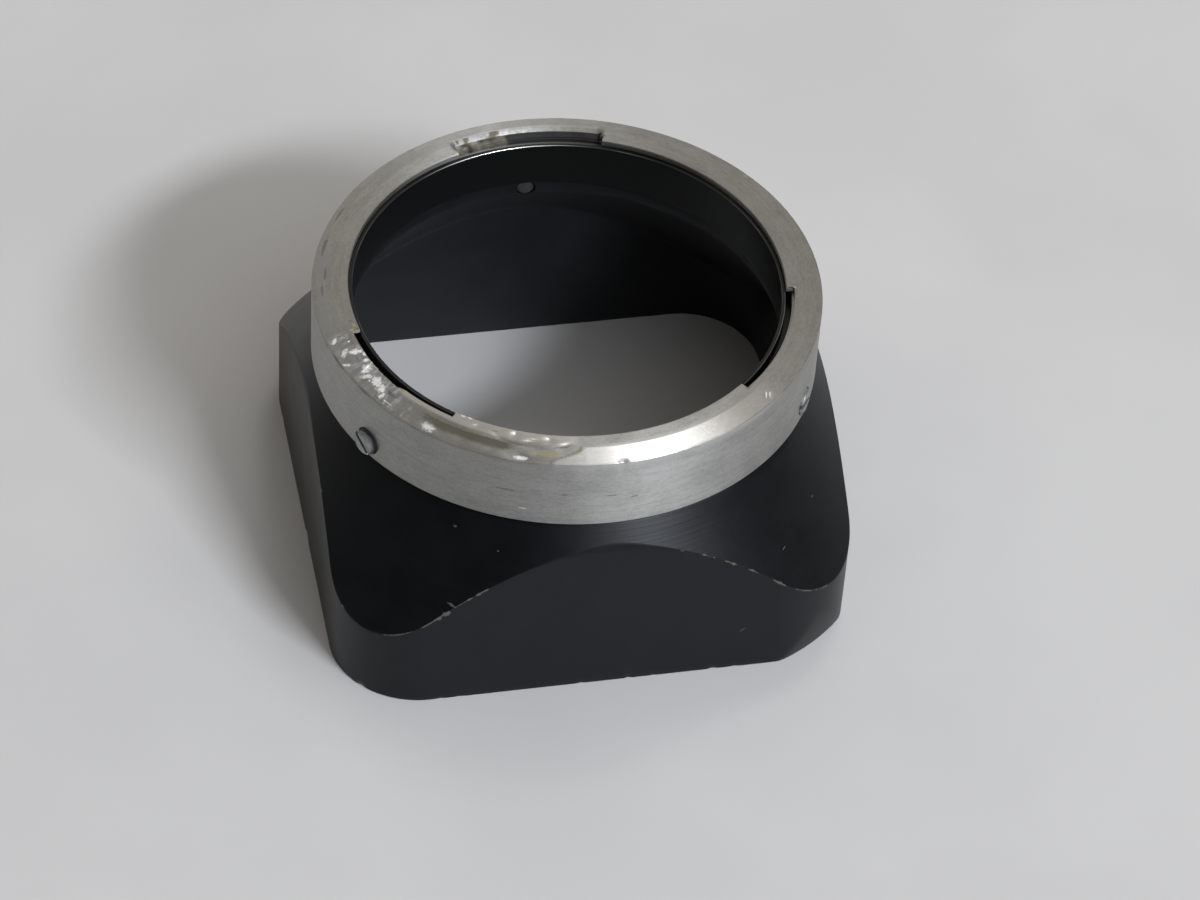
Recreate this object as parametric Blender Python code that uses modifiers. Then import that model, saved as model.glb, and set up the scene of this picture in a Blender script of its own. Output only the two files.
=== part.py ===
"""Square bayonet lens hood for a twin-lens camera: a turned and squared shell, a bayonet ring
held on its neck by three set screws, and a sprung pressure ring behind the bayonet lugs.

Metres, +Z up. The hood stands on its front rim at z = 0 and the optical axis is the Z axis.
The camera side, with the bayonet, is at the top. The four flats face -Y, +X, +Y and -X.
"""

import math

import bmesh
import bpy
from mathutils import Matrix, Vector

# Bayonet
RING_BORE = 0.0370            # across the bore behind the lugs, which the notches open to
BORE_DEPTH = 0.0011           # room behind the lugs for the lens's own lugs
LUG_DEPTH = 0.0005            # how far a lug stands in from the bore
LUG_THICKNESS = 0.0005
LUG_COUNT = 3
NOTCH_ANGLE = math.radians(40.0)
NOTCH_RELIEF = 0.00005        # the notches are cut this much past the bore and the lugs
FIRST_NOTCH = math.radians(90.0)

# Bayonet ring
RING_SLEEVE_WALL = 0.00145    # the wall round the neck
RING_BEVEL_WIDTH = 0.0017
RING_BEVEL_DROP = 0.00035
RING_FOOT_CHAMFER = 0.00015

# Pressure ring, a thin sleeve with a flange that slides behind the lugs
COLLAR_GAP = 0.00055          # free space between the sleeve and the ring's bore
COLLAR_WALL = 0.0003          # thickness of the sleeve's wall
FLANGE_GRIP = 0.00035         # how far the flange reaches out under the ring's step
FLANGE_THICKNESS = 0.0004
SKIRT_LENGTH = 0.0026         # how far the sleeve runs down below the flange
PRESSURE_TRAVEL = 0.0009

# Wave spring under the flange
SPRING_STRIP = 0.00025
SPRING_WAVES = 3
SPRING_PRESSED_STRIPS = 1.6   # height of the pressed spring, in strip thicknesses

# Shell
FLAT_STANDOFF = 0.00075       # how far the four flats stand outside the ring
CORNER_RADIUS = 0.0073
CORNER_HEIGHT = 0.0071        # the skirt's height at its corners
SKIRT_WALL = 0.0007
CONE_WALL = 0.0012
CONE_ANGLE = math.radians(55.2)
RING_OVERHANG = 0.0007        # the ring's foot stands this far outside the shoulder
NECK_WALL = 0.0006            # the wall round the spring
SPRING_FLOOR = 0.0009         # metal between a screw hole and the spring's seat

# Set screws, headless and slotted, with a dog point that enters the neck
SCREW_DIAMETER = 0.0023
SCREW_CHAMFER = 0.00015
SCREW_POINT_DIAMETER = 0.0015
SCREW_SLOT_WIDTH = 0.0004
SCREW_SLOT_DEPTH = 0.0006
SCREW_PROUD = 0.0002          # a tight screw's slotted end stands this far out of the ring
SCREW_POINT_INSET = 0.0001    # a tight screw's point stops this far outside the neck's bore
SCREW_EDGE = 0.0004           # metal between the ring's foot and a screw hole
SCREW_SETTINGS = (            # how far each screw is backed off, where its slot stands, and how far
                              # round from the middle of its notch it was drilled
    (0.0001, math.radians(20.0), math.radians(0.0)),
    (0.0004, math.radians(-40.0), math.radians(0.0)),
    (0.0000, math.radians(-10.0), math.radians(-1.5)),
)

# Fits
SEAT_GAP = 0.00005
FIT_CLEARANCE = 0.00005

# Facets
TURNED_STEPS = 96
SCREW_STEPS = 20
CORNER_SEGMENTS = 10
NOTCH_SEGMENTS = 12
SHARP_ANGLE = math.radians(30.0)
WELD_DISTANCE = 0.000001
CUT_MARGIN = 0.0010           # cutters run this far past what they cut

# Radii that follow, from the light path outwards
bore_radius = RING_BORE / 2
light_radius = bore_radius - LUG_DEPTH
collar_radius = bore_radius - COLLAR_GAP
collar_bore_radius = collar_radius - COLLAR_WALL
guide_radius = collar_radius + FIT_CLEARANCE
flange_radius = bore_radius + FLANGE_GRIP
spring_well_radius = flange_radius + FIT_CLEARANCE
neck_radius = spring_well_radius + NECK_WALL
sleeve_radius = neck_radius + FIT_CLEARANCE
ring_radius = sleeve_radius + RING_SLEEVE_WALL
shoulder_radius = ring_radius - RING_OVERHANG
screw_radius = SCREW_DIAMETER / 2
screw_hole_radius = screw_radius + FIT_CLEARANCE
point_radius = SCREW_POINT_DIAMETER / 2
point_hole_radius = point_radius + FIT_CLEARANCE

# The skirt's outline
flat_half = ring_radius + FLAT_STANDOFF
corner_reach = (flat_half - CORNER_RADIUS) * math.sqrt(2) + CORNER_RADIUS
cone_slope = math.tan(CONE_ANGLE)

# Heights that follow, from the front rim upwards
shoulder_z = CORNER_HEIGHT + (corner_reach - shoulder_radius) * cone_slope
ring_foot_z = shoulder_z + SEAT_GAP
screw_z = ring_foot_z + SCREW_EDGE + screw_hole_radius
spring_seat_z = screw_z + screw_hole_radius + SPRING_FLOOR
spring_foot_z = spring_seat_z + SEAT_GAP
spring_height = PRESSURE_TRAVEL + SPRING_PRESSED_STRIPS * SPRING_STRIP
flange_foot_z = spring_foot_z + spring_height + SEAT_GAP
flange_top_z = flange_foot_z + FLANGE_THICKNESS
ring_step_z = flange_top_z + SEAT_GAP
neck_top_z = ring_step_z - SEAT_GAP
lug_under_z = ring_step_z + BORE_DEPTH
ring_top_z = lug_under_z + LUG_THICKNESS
collar_top_z = lug_under_z - SEAT_GAP


def clear_scene():
    """Remove every object of the startup scene."""
    for old in list(bpy.data.objects):
        bpy.data.objects.remove(old, do_unlink=True)


def new_collection(name):
    """A collection under the scene's own."""
    made = bpy.data.collections.new(name)
    bpy.context.scene.collection.children.link(made)
    return made


def finish(name, colour, roughness, metallic):
    """A plain Principled material."""
    material = bpy.data.materials.new(name)
    material.use_nodes = True
    shader = material.node_tree.nodes["Principled BSDF"]
    shader.inputs["Base Color"].default_value = (*colour, 1.0)
    shader.inputs["Roughness"].default_value = roughness
    shader.inputs["Metallic"].default_value = metallic
    return material


def evaluated_mesh(obj):
    """An object's mesh with its modifiers applied and its seams welded."""
    bpy.context.view_layer.update()
    graph = bpy.context.evaluated_depsgraph_get()
    mesh = bpy.data.meshes.new_from_object(obj.evaluated_get(graph))
    welded = bmesh.new()
    welded.from_mesh(mesh)
    bmesh.ops.remove_doubles(welded, verts=welded.verts, dist=WELD_DISTANCE)
    bmesh.ops.recalc_face_normals(welded, faces=welded.faces)
    welded.to_mesh(mesh)
    welded.free()
    return mesh


def as_piece(obj, collection, material):
    """Put an object among the parts: its modifiers are applied, its round faces shaded smooth and
    its turned edges kept sharp."""
    collection.objects.link(obj)
    obj.data = evaluated_mesh(obj)
    obj.modifiers.clear()
    obj.data.shade_smooth()
    obj.data.set_sharp_from_angle(angle=SHARP_ANGLE)
    obj.data.materials.clear()
    obj.data.materials.append(material)
    return obj


def as_cutter(obj, collection):
    """Put an object among the cutters, out of the model."""
    collection.objects.link(obj)
    obj.hide_render = True
    obj.display_type = "WIRE"
    return obj


def boolean(obj, other, operation):
    """Cut, join or intersect obj with another mesh object."""
    modifier = obj.modifiers.new(operation.lower(), "BOOLEAN")
    modifier.operation = operation
    modifier.object = other
    modifier.solver = "MANIFOLD"


def turned(name, profile, steps, closed):
    """A turned shape: a profile of (radius, height) points, outer side first and downwards, with a
    Screw modifier. A closed profile makes a ring, an open one starts and ends on the axis."""
    mesh = bpy.data.meshes.new(name)
    outline = bmesh.new()
    corners = [outline.verts.new((radius, 0.0, height)) for radius, height in profile]
    for here, there in zip(corners, corners[1:]):
        outline.edges.new((here, there))
    if closed:
        outline.edges.new((corners[-1], corners[0]))
    outline.to_mesh(mesh)
    outline.free()
    obj = bpy.data.objects.new(name, mesh)
    screw = obj.modifiers.new("turn", "SCREW")
    screw.steps = steps
    screw.render_steps = steps
    screw.use_merge_vertices = True
    screw.merge_threshold = WELD_DISTANCE
    return obj


def square_prism(name, half, radius, low, high):
    """A square bar with rounded upright edges, from height low to height high."""
    mesh = bpy.data.meshes.new(name)
    bar = bmesh.new()
    bmesh.ops.create_cube(bar, size=1.0)
    bmesh.ops.scale(bar, vec=(2 * half, 2 * half, high - low), verts=bar.verts)
    bmesh.ops.translate(bar, vec=(0.0, 0.0, (low + high) / 2), verts=bar.verts)
    upright = [
        edge
        for edge in bar.edges
        if abs(edge.verts[0].co.z - edge.verts[1].co.z) > (high - low) / 2
    ]
    bmesh.ops.bevel(
        bar,
        geom=upright,
        offset=radius,
        segments=CORNER_SEGMENTS,
        profile=0.5,
        affect="EDGES",
    )
    bar.to_mesh(mesh)
    bar.free()
    return bpy.data.objects.new(name, mesh)


def sector_prism(name, inner, outer, middle, width, low, high):
    """A slice of a ring, width radians wide about the angle middle, from height low to high."""
    angles = [middle + width * (i / NOTCH_SEGMENTS - 0.5) for i in range(NOTCH_SEGMENTS + 1)]
    outline = [(outer * math.cos(a), outer * math.sin(a)) for a in angles]
    outline += [(inner * math.cos(a), inner * math.sin(a)) for a in reversed(angles)]
    curve = bpy.data.curves.new(name, "CURVE")
    curve.dimensions = "2D"
    curve.fill_mode = "BOTH"
    curve.extrude = (high - low) / 2
    spline = curve.splines.new("POLY")
    spline.points.add(len(outline) - 1)
    for point, (x, y) in zip(spline.points, outline):
        point.co = (x, y, 0.0, 1.0)
    spline.use_cyclic_u = True
    flat = bpy.data.objects.new(name, curve)
    bpy.context.scene.collection.objects.link(flat)
    solid = bpy.data.objects.new(name, evaluated_mesh(flat))
    bpy.data.objects.remove(flat)
    solid.location.z = (low + high) / 2
    return solid


def notch_angles():
    """The middles of the notches, which are also the angles of the set screws."""
    return [FIRST_NOTCH + 2 * math.pi * i / LUG_COUNT for i in range(LUG_COUNT)]


def screw_settings():
    """The angle, the back-off and the slot's turn of each set screw."""
    found = []
    for number, middle in enumerate(notch_angles()):
        backed_off, slot_turn, shift = SCREW_SETTINGS[number % len(SCREW_SETTINGS)]
        found.append((middle + shift, backed_off, slot_turn))
    return found


def radial_placement(angle, radius, height):
    """The place of an object whose own +Z points out from the optical axis at an angle."""
    turn = Matrix.Rotation(angle, 4, "Z") @ Matrix.Rotation(math.pi / 2, 4, "Y")
    spot = Vector((radius * math.cos(angle), radius * math.sin(angle), height))
    return Matrix.Translation(spot) @ turn


def radial_drill(name, angle, radius):
    """A round drill that runs from inside the neck to outside the ring at one screw's angle."""
    inner = collar_bore_radius - CUT_MARGIN
    outer = ring_radius + CUT_MARGIN
    mesh = bpy.data.meshes.new(name)
    drill = bmesh.new()
    bmesh.ops.create_cone(
        drill,
        cap_ends=True,
        segments=SCREW_STEPS,
        radius1=radius,
        radius2=radius,
        depth=outer - inner,
    )
    drill.to_mesh(mesh)
    drill.free()
    obj = bpy.data.objects.new(name, mesh)
    obj.matrix_world = radial_placement(angle, (inner + outer) / 2, screw_z)
    return obj


def drill_holes(piece, label, radius, cutters):
    """Drill one radial hole through a piece for each set screw."""
    for number, (angle, _, _) in enumerate(screw_settings(), 1):
        drill = radial_drill(f"{label}_{number}", angle, radius)
        boolean(piece, as_cutter(drill, cutters), "DIFFERENCE")


def hood_shell(parts, cutters, material):
    """The black shell: a turned cone and neck, squared to a rounded skirt and hollowed."""
    wide = corner_reach + CUT_MARGIN
    cone_end_z = shoulder_z - (wide - shoulder_radius) * cone_slope
    blank = turned(
        "hood_shell",
        [
            (0.0, neck_top_z),
            (neck_radius, neck_top_z),
            (neck_radius, shoulder_z),
            (shoulder_radius, shoulder_z),
            (wide, cone_end_z),
            (wide, 0.0),
            (0.0, 0.0),
        ],
        TURNED_STEPS,
        closed=False,
    )
    square = square_prism(
        "skirt_outside", flat_half, CORNER_RADIUS, -CUT_MARGIN, neck_top_z + CUT_MARGIN
    )
    boolean(blank, as_cutter(square, cutters), "INTERSECT")

    cone_drop = CONE_WALL / math.cos(CONE_ANGLE)
    guide_foot_z = shoulder_z + (shoulder_radius - guide_radius) * cone_slope - cone_drop
    hollow = turned(
        "shell_hollow",
        [
            (0.0, neck_top_z + CUT_MARGIN),
            (spring_well_radius, neck_top_z + CUT_MARGIN),
            (spring_well_radius, spring_seat_z),
            (guide_radius, spring_seat_z),
            (guide_radius, guide_foot_z),
            (wide, guide_foot_z - (wide - guide_radius) * cone_slope),
            (wide, -CUT_MARGIN),
            (0.0, -CUT_MARGIN),
        ],
        TURNED_STEPS,
        closed=False,
    )
    inside = square_prism(
        "skirt_inside",
        flat_half - SKIRT_WALL,
        CORNER_RADIUS - SKIRT_WALL,
        -2 * CUT_MARGIN,
        neck_top_z + 2 * CUT_MARGIN,
    )
    boolean(hollow, as_cutter(inside, cutters), "INTERSECT")
    boolean(blank, as_cutter(hollow, cutters), "DIFFERENCE")
    drill_holes(blank, "point_hole", point_hole_radius, cutters)
    return as_piece(blank, parts, material)


def bayonet_ring(parts, cutters, material):
    """The bare metal ring: a sleeve over the neck, a bore and a lip cut into lugs by notches."""
    ring = turned(
        "bayonet_ring",
        [
            (ring_radius - RING_BEVEL_WIDTH, ring_top_z),
            (ring_radius, ring_top_z - RING_BEVEL_DROP),
            (ring_radius, ring_foot_z + RING_FOOT_CHAMFER),
            (ring_radius - RING_FOOT_CHAMFER, ring_foot_z),
            (sleeve_radius, ring_foot_z),
            (sleeve_radius, ring_step_z),
            (bore_radius, ring_step_z),
            (bore_radius, lug_under_z),
            (light_radius, lug_under_z),
            (light_radius, ring_top_z),
        ],
        TURNED_STEPS,
        closed=True,
    )
    for number, angle in enumerate(notch_angles(), 1):
        notch = sector_prism(
            f"notch_{number}",
            light_radius - CUT_MARGIN,
            bore_radius + NOTCH_RELIEF,
            angle,
            NOTCH_ANGLE,
            lug_under_z - NOTCH_RELIEF,
            ring_top_z + CUT_MARGIN,
        )
        boolean(ring, as_cutter(notch, cutters), "DIFFERENCE")
    drill_holes(ring, "screw_hole", screw_hole_radius, cutters)
    return as_piece(ring, parts, material)


def pressure_ring(parts, material):
    """The thin sprung sleeve that holds the lens's bayonet up against the lugs. Its origin is on the
    optical axis, at the foot of its flange."""
    collar_top = collar_top_z - flange_foot_z
    ring = turned(
        "pressure_ring",
        [
            (collar_radius, collar_top),
            (collar_radius, FLANGE_THICKNESS),
            (flange_radius, FLANGE_THICKNESS),
            (flange_radius, 0.0),
            (collar_radius, 0.0),
            (collar_radius, -SKIRT_LENGTH),
            (collar_bore_radius, -SKIRT_LENGTH),
            (collar_bore_radius, collar_top),
        ],
        TURNED_STEPS,
        closed=True,
    )
    ring.location.z = flange_foot_z
    return as_piece(ring, parts, material)


def wave_spring(parts, material):
    """A flat steel strip ring, bent into waves between its seat and the pressure ring's flange."""
    spring = turned(
        "wave_spring",
        [
            (flange_radius, SPRING_STRIP),
            (flange_radius, 0.0),
            (guide_radius, 0.0),
            (guide_radius, SPRING_STRIP),
        ],
        TURNED_STEPS,
        closed=True,
    )
    as_piece(spring, parts, material)
    lift = spring_height - SPRING_STRIP
    for vertex in spring.data.vertices:
        angle = math.atan2(vertex.co.y, vertex.co.x) - FIRST_NOTCH
        vertex.co.z += lift * (1 - math.cos(SPRING_WAVES * angle)) / 2
    spring.location.z = spring_foot_z
    return spring


def set_screw(name, angle, backed_off, slot_turn, parts, cutters, material):
    """A headless slotted screw whose dog point enters the neck."""
    point_end = guide_radius + SCREW_POINT_INSET
    length = ring_radius + SCREW_PROUD - point_end
    point_length = sleeve_radius - point_end
    screw = turned(
        name,
        [
            (0.0, length),
            (screw_radius - SCREW_CHAMFER, length),
            (screw_radius, length - SCREW_CHAMFER),
            (screw_radius, point_length),
            (point_radius, point_length),
            (point_radius, 0.0),
            (0.0, 0.0),
        ],
        SCREW_STEPS,
        closed=False,
    )
    # the turned screw's own X axis points down when it is placed, and its Y axis along the ring
    placement = radial_placement(angle, point_end + backed_off, screw_z)
    screw.matrix_world = placement
    slot_mesh = bpy.data.meshes.new(name + "_slot")
    slot_box = bmesh.new()
    bmesh.ops.create_cube(slot_box, size=1.0)
    bmesh.ops.scale(
        slot_box,
        vec=(SCREW_SLOT_WIDTH, 2 * SCREW_DIAMETER, 2 * SCREW_SLOT_DEPTH),
        verts=slot_box.verts,
    )
    slot_box.to_mesh(slot_mesh)
    slot_box.free()
    slot = bpy.data.objects.new(name + "_slot", slot_mesh)
    slot_place = Matrix.Translation((0.0, 0.0, length)) @ Matrix.Rotation(slot_turn, 4, "Z")
    slot.matrix_world = placement @ slot_place
    boolean(screw, as_cutter(slot, cutters), "DIFFERENCE")
    return as_piece(screw, parts, material)


def main():
    clear_scene()
    parts = new_collection("lens_hood")
    cutters = new_collection("cutters")
    black = finish("black_anodised", (0.018, 0.018, 0.021), 0.42, 0.4)
    bare = finish("bare_aluminium", (0.62, 0.62, 0.60), 0.38, 1.0)
    dark = finish("black_sleeve", (0.03, 0.03, 0.032), 0.40, 0.6)
    steel = finish("spring_steel", (0.45, 0.46, 0.48), 0.35, 1.0)

    hood_shell(parts, cutters, black)
    bayonet_ring(parts, cutters, bare)
    pressure_ring(parts, dark)
    wave_spring(parts, steel)
    for number, (angle, backed_off, slot_turn) in enumerate(screw_settings(), 1):
        set_screw(f"set_screw_{number}", angle, backed_off, slot_turn, parts, cutters, steel)


main()
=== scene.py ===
"""Looks of a square bayonet lens hood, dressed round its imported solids.

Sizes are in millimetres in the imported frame: the optical axis is Z, the front rim stands on z = 0
and the bayonet is at the top. Angles go round the axis from +X, and the front flat faces -Y.
Meshes are written in metres.
"""

import itertools
import logging
import math
from abc import ABC, abstractmethod
from dataclasses import dataclass
from enum import Enum
from typing import Any, ClassVar, Sequence, Union

import bmesh
import bpy
import numpy as np
from mathutils import Matrix, Vector


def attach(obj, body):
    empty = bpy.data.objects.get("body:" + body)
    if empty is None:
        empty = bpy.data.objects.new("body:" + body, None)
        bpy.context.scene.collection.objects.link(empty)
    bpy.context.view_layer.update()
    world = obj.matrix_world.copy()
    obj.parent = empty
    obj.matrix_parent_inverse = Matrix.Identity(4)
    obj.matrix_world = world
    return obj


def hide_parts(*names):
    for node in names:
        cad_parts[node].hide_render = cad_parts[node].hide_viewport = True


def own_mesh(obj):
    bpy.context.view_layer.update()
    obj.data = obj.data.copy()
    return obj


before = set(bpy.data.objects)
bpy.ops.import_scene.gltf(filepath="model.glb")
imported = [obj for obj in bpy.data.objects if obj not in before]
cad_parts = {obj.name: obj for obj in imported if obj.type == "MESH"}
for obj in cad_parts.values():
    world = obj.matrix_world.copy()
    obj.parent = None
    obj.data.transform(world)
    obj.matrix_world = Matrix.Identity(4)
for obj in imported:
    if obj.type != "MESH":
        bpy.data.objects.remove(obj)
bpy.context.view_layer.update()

LOG = logging.getLogger("lens_hood")
MM = 0.001
SHARP_ANGLE = math.radians(38.0)

# Places that two or more pieces share
LUG_RADIUS = 18.0
COLLAR_RADIUS = 17.95
COLLAR_BORE = 17.65
GUIDE_RADIUS = 18.0
BORE_RADIUS = 18.5
FLANGE_RADIUS = 18.85
SLEEVE_RADIUS = 19.55
RING_RADIUS = 21.0
RING_FOOT = 17.848
SCREW_HEIGHT = 19.448
SPRING_FOOT = 21.598
FLANGE_FOOT = 22.948
RING_STEP = 23.398
COLLAR_TOP = 24.448
LUG_UNDER = 24.498
RING_TOP = 24.998
NOTCH_MIDDLES = (90.0, 210.0, 330.0)
NOTCH_HALF = 20.0
SCREW_ANGLES = (90.0, 210.0, 328.5)
DRILL_START = 16.5
DRILL_END = 22.5

Array = np.ndarray
Piece = bpy.types.Object
Socket = bpy.types.NodeSocket
Colour = tuple[float, float, float, float]
Feed = Union[float, Sequence[float], Socket]


class Body(Enum):
    """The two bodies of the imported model."""

    HOOD = "hood"
    PRESSURE_RING = "pressure_ring"


class Wear(Enum):
    """The point attributes that tell a finish where a surface is worn or dirty, and where highlight or
    shade is painted.
    """

    EDGE = "edge_wear"
    GOUGE = "gouge"
    GRIME = "grime"


class ShellFace(Enum):
    """The three ways the shell's faces were cut, as material slots."""

    MILLED = 0
    TURNED = 1
    INSIDE = 2


def ease(share: Array) -> Array:
    """A smooth step of a share that is cut off at 0 and 1."""
    cut = np.clip(share, 0.0, 1.0)
    return cut * cut * (3.0 - 2.0 * cut)


def rise(value: Array, start: float | Array, width: float) -> Array:
    """A smooth step from 0 at the start to 1 a width beyond it."""
    return ease((value - start) / width)


def fall(value: Array, end: float | Array, width: float) -> Array:
    """A smooth step from 1 a width before the end to 0 at the end."""
    return ease((end - value) / width)


def turned_from(angle: Array, middle: float) -> Array:
    """How many degrees angles lie to either side of a middle, from -180 to 180."""
    return (angle - middle + 180.0) % 360.0 - 180.0


@dataclass(frozen=True)
class Sector:
    """A stretch round the axis, in degrees, and how many degrees its ends take to fade."""

    first: float
    last: float
    fade: float

    def at(self, angle: Array) -> Array:
        """1 at angles inside the sector, 0 outside it."""
        away = np.abs(turned_from(angle, (self.first + self.last) / 2))
        return ease(((self.last - self.first) / 2 - away) / self.fade + 0.5)


@dataclass(frozen=True)
class Grain:
    """Smooth repeatable noise on a lattice that closes round the axis."""

    seed: int
    cells_round: int

    def at(self, angle: Array, across: Array) -> Array:
        """Read the noise.

        Args:
            angle: Angles in degrees.
            across: The other coordinate, in cells.

        Returns:
            Values from 0 to 1.
        """
        rows = 61
        table = np.random.default_rng(self.seed).random((self.cells_round, rows))
        u = (angle % 360.0) / 360.0 * self.cells_round
        low_u = np.floor(u).astype(int)
        low_v = np.floor(across).astype(int)
        share_u = ease(u - low_u)
        share_v = ease(across - low_v)
        high_u = (low_u + 1) % self.cells_round
        low_u = low_u % self.cells_round
        high_v = (low_v + 1) % rows
        low_v = low_v % rows
        near = table[low_u, low_v] * (1 - share_u) + table[high_u, low_v] * share_u
        far = table[low_u, high_v] * (1 - share_u) + table[high_u, high_v] * share_u
        return near * (1 - share_v) + far * share_v


@dataclass(frozen=True)
class Mark:
    """A dent, scratch or stain on a skin that goes round the axis.

    Its place is an angle in degrees and a point of the profile. The length runs round the axis and
    the width across, unless the mark is turned.
    """

    angle: float
    radius: float
    height: float
    length: float
    width: float
    depth: float = 0.0
    turn: float = 0.0

    def weight(self, angle: Array, radius: Array, height: Array) -> Array:
        """How strongly points are touched by the mark, from 0 to 1.

        Args:
            angle: The points' angles in degrees.
            radius: Their distances from the axis.
            height: Their heights.

        Returns:
            1 at the middle of the mark, fading to 0.
        """
        along = np.radians(turned_from(angle, self.angle)) * self.radius
        out = radius - self.radius
        up = height - self.height
        across = np.copysign(np.hypot(out, up), up - out)
        turn = math.radians(self.turn)
        u = (math.cos(turn) * along + math.sin(turn) * across) / self.length
        v = (math.cos(turn) * across - math.sin(turn) * along) / self.width
        return np.exp(-u * u - v * v)


def strongest(marks: Sequence[Mark], angle: Array, radius: Array, height: Array) -> Array:
    """The strongest of several marks at each point.

    Args:
        marks: The marks.
        angle: The points' angles in degrees.
        radius: Their distances from the axis.
        height: Their heights.

    Returns:
        Weights from 0 to 1.
    """
    found = np.zeros_like(radius)
    for mark in marks:
        found = np.maximum(found, mark.weight(angle, radius, height))
    return found


@dataclass(frozen=True)
class Stain:
    """An oblong mark in a finish.

    Its place is an angle in degrees and the height less the radius, in millimetres, which grows from
    the foot of a turned piece to its inner lip. Length and width are reaches from its middle.
    """

    angle: float
    along: float
    length: float
    width: float
    turn: float = 0.0


@dataclass(frozen=True)
class Chips:
    """Flat chips that tile a torn surface, each with its own tilt and brightness."""

    seed: int
    size: float

    def at(self, along: Array, across: Array) -> tuple[Array, Array]:
        """Read the chips.

        Args:
            along: One coordinate in millimetres.
            across: The other coordinate.

        Returns:
            Heights of about 0 to 1, and brightnesses from 0 to 1.
        """
        rows = 97
        table = np.random.default_rng(self.seed).random((rows, rows, 5))
        u, v = along / self.size, across / self.size
        nearest = np.full(u.shape, 9.0)
        height = np.zeros(u.shape)
        shine = np.zeros(u.shape)
        for i, j in itertools.product((-1, 0, 1), repeat=2):
            cell_u, cell_v = np.floor(u) + i, np.floor(v) + j
            chance = table[cell_u.astype(int) % rows, cell_v.astype(int) % rows]
            off_u = u - cell_u - chance[..., 0]
            off_v = v - cell_v - chance[..., 1]
            away = off_u**2 + off_v**2
            tilted = 0.5 + off_u * (chance[..., 2] - 0.5) + off_v * (chance[..., 3] - 0.5)
            height = np.where(away < nearest, tilted, height)
            shine = np.where(away < nearest, chance[..., 4], shine)
            nearest = np.minimum(nearest, away)
        return height, shine


@dataclass(frozen=True)
class Corner:
    """A corner of a turned profile, how far back its rounding starts, and the spacing of the points
    on the straight run that follows it."""

    radius: float
    height: float
    rounding: float
    spacing: float
    steps: int = 3


def rounded_profile(corners: Sequence[Corner]) -> Array:
    """The points of a closed profile with rounded corners.

    Args:
        corners: The corners in order.

    Returns:
        An array of (radius, height) rows.
    """
    spots = [np.array((c.radius, c.height)) for c in corners]
    points = []
    for i, corner in enumerate(corners):
        here, after = spots[i], spots[(i + 1) % len(spots)]
        following = corners[(i + 1) % len(corners)]
        back = (spots[i - 1] - here) / np.linalg.norm(spots[i - 1] - here)
        ahead = (after - here) / np.linalg.norm(after - here)
        start = here + back * corner.rounding
        end = here + ahead * corner.rounding
        for t in np.linspace(0.0, 1.0, corner.steps + 1):
            points.append((1 - t) ** 2 * start + 2 * t * (1 - t) * here + t * t * end)
        stop = after - ahead * following.rounding
        pieces = max(1, math.ceil(np.linalg.norm(stop - end) / corner.spacing))
        for k in range(1, pieces):
            points.append(end + (stop - end) * k / pieces)
    return np.array(points)


def skin_normals(points: Array) -> Array:
    """Outward normals of a skin that closes both ways.

    Args:
        points: Points by column, row and coordinate.

    Returns:
        Unit normals in the same layout.
    """
    round_way = np.roll(points, -1, axis=0) - np.roll(points, 1, axis=0)
    along_way = np.roll(points, -1, axis=1) - np.roll(points, 1, axis=1)
    normals = np.cross(round_way, along_way)
    normals /= np.maximum(np.linalg.norm(normals, axis=2, keepdims=True), 1e-12)
    reach = np.hypot(points[..., 0], points[..., 1])
    widest = np.unravel_index(np.argmax(reach), reach.shape)
    if np.dot(normals[widest][:2], points[widest][:2]) < 0:
        normals = -normals
    return normals


def skin_points(angle: Array, radius: Array, height: Array) -> Array:
    """Points of a skin from cylinder coordinates.

    Args:
        angle: One angle in degrees for each column.
        radius: Distances from the axis by column and row.
        height: Heights by column and row.

    Returns:
        Points by column, row and coordinate.
    """
    turn = np.radians(angle)[:, None]
    return np.stack((radius * np.cos(turn), radius * np.sin(turn), height), axis=2)


def dented(points: Array, marks: Sequence[Mark], angle: Array, radius: Array, height: Array) -> Array:
    """Press marks into a skin along its normals.

    Args:
        points: Points by column, row and coordinate.
        marks: The marks.
        angle: The points' angles in degrees, by column and row, before they are pressed.
        radius: Their distances from the axis.
        height: Their heights.

    Returns:
        The new points.
    """
    normals = skin_normals(points)
    for mark in marks:
        press = mark.weight(angle, radius, height)[..., None] * mark.depth
        points = points - normals * press
    return points


def skin(name: str, points: Array, capped: bool = False) -> Piece:
    """An object whose skin closes round an axis, and along its profile too unless it is capped.

    Args:
        name: The piece's name.
        points: Points in millimetres by column, row and coordinate.
        capped: Whether the first and the last row end in flat caps.

    Returns:
        The object, in the scene, with its faces outwards.
    """
    columns, rows, _ = points.shape
    index = np.arange(columns * rows).reshape(columns, rows)
    beside = np.roll(index, -1, axis=0)
    sides = np.stack((index, beside, np.roll(beside, -1, axis=1), np.roll(index, -1, axis=1)), axis=2)
    faces = (sides[:, :-1] if capped else sides).reshape(-1, 4).tolist()
    if capped:
        faces += [index[:, 0].tolist(), index[:, -1].tolist()]
    mesh = bpy.data.meshes.new(name)
    mesh.from_pydata((points.reshape(-1, 3) * MM).tolist(), [], faces)
    return shown(name, mesh)


def shown(name: str, mesh: bpy.types.Mesh) -> Piece:
    """Put a mesh in the scene with its faces turned outwards.

    Args:
        name: The object's name.
        mesh: The mesh.

    Returns:
        The object.
    """
    edit = bmesh.new()
    edit.from_mesh(mesh)
    bmesh.ops.recalc_face_normals(edit, faces=edit.faces)
    edit.to_mesh(mesh)
    edit.free()
    obj = bpy.data.objects.new(name, mesh)
    bpy.context.scene.collection.objects.link(obj)
    return obj


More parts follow.
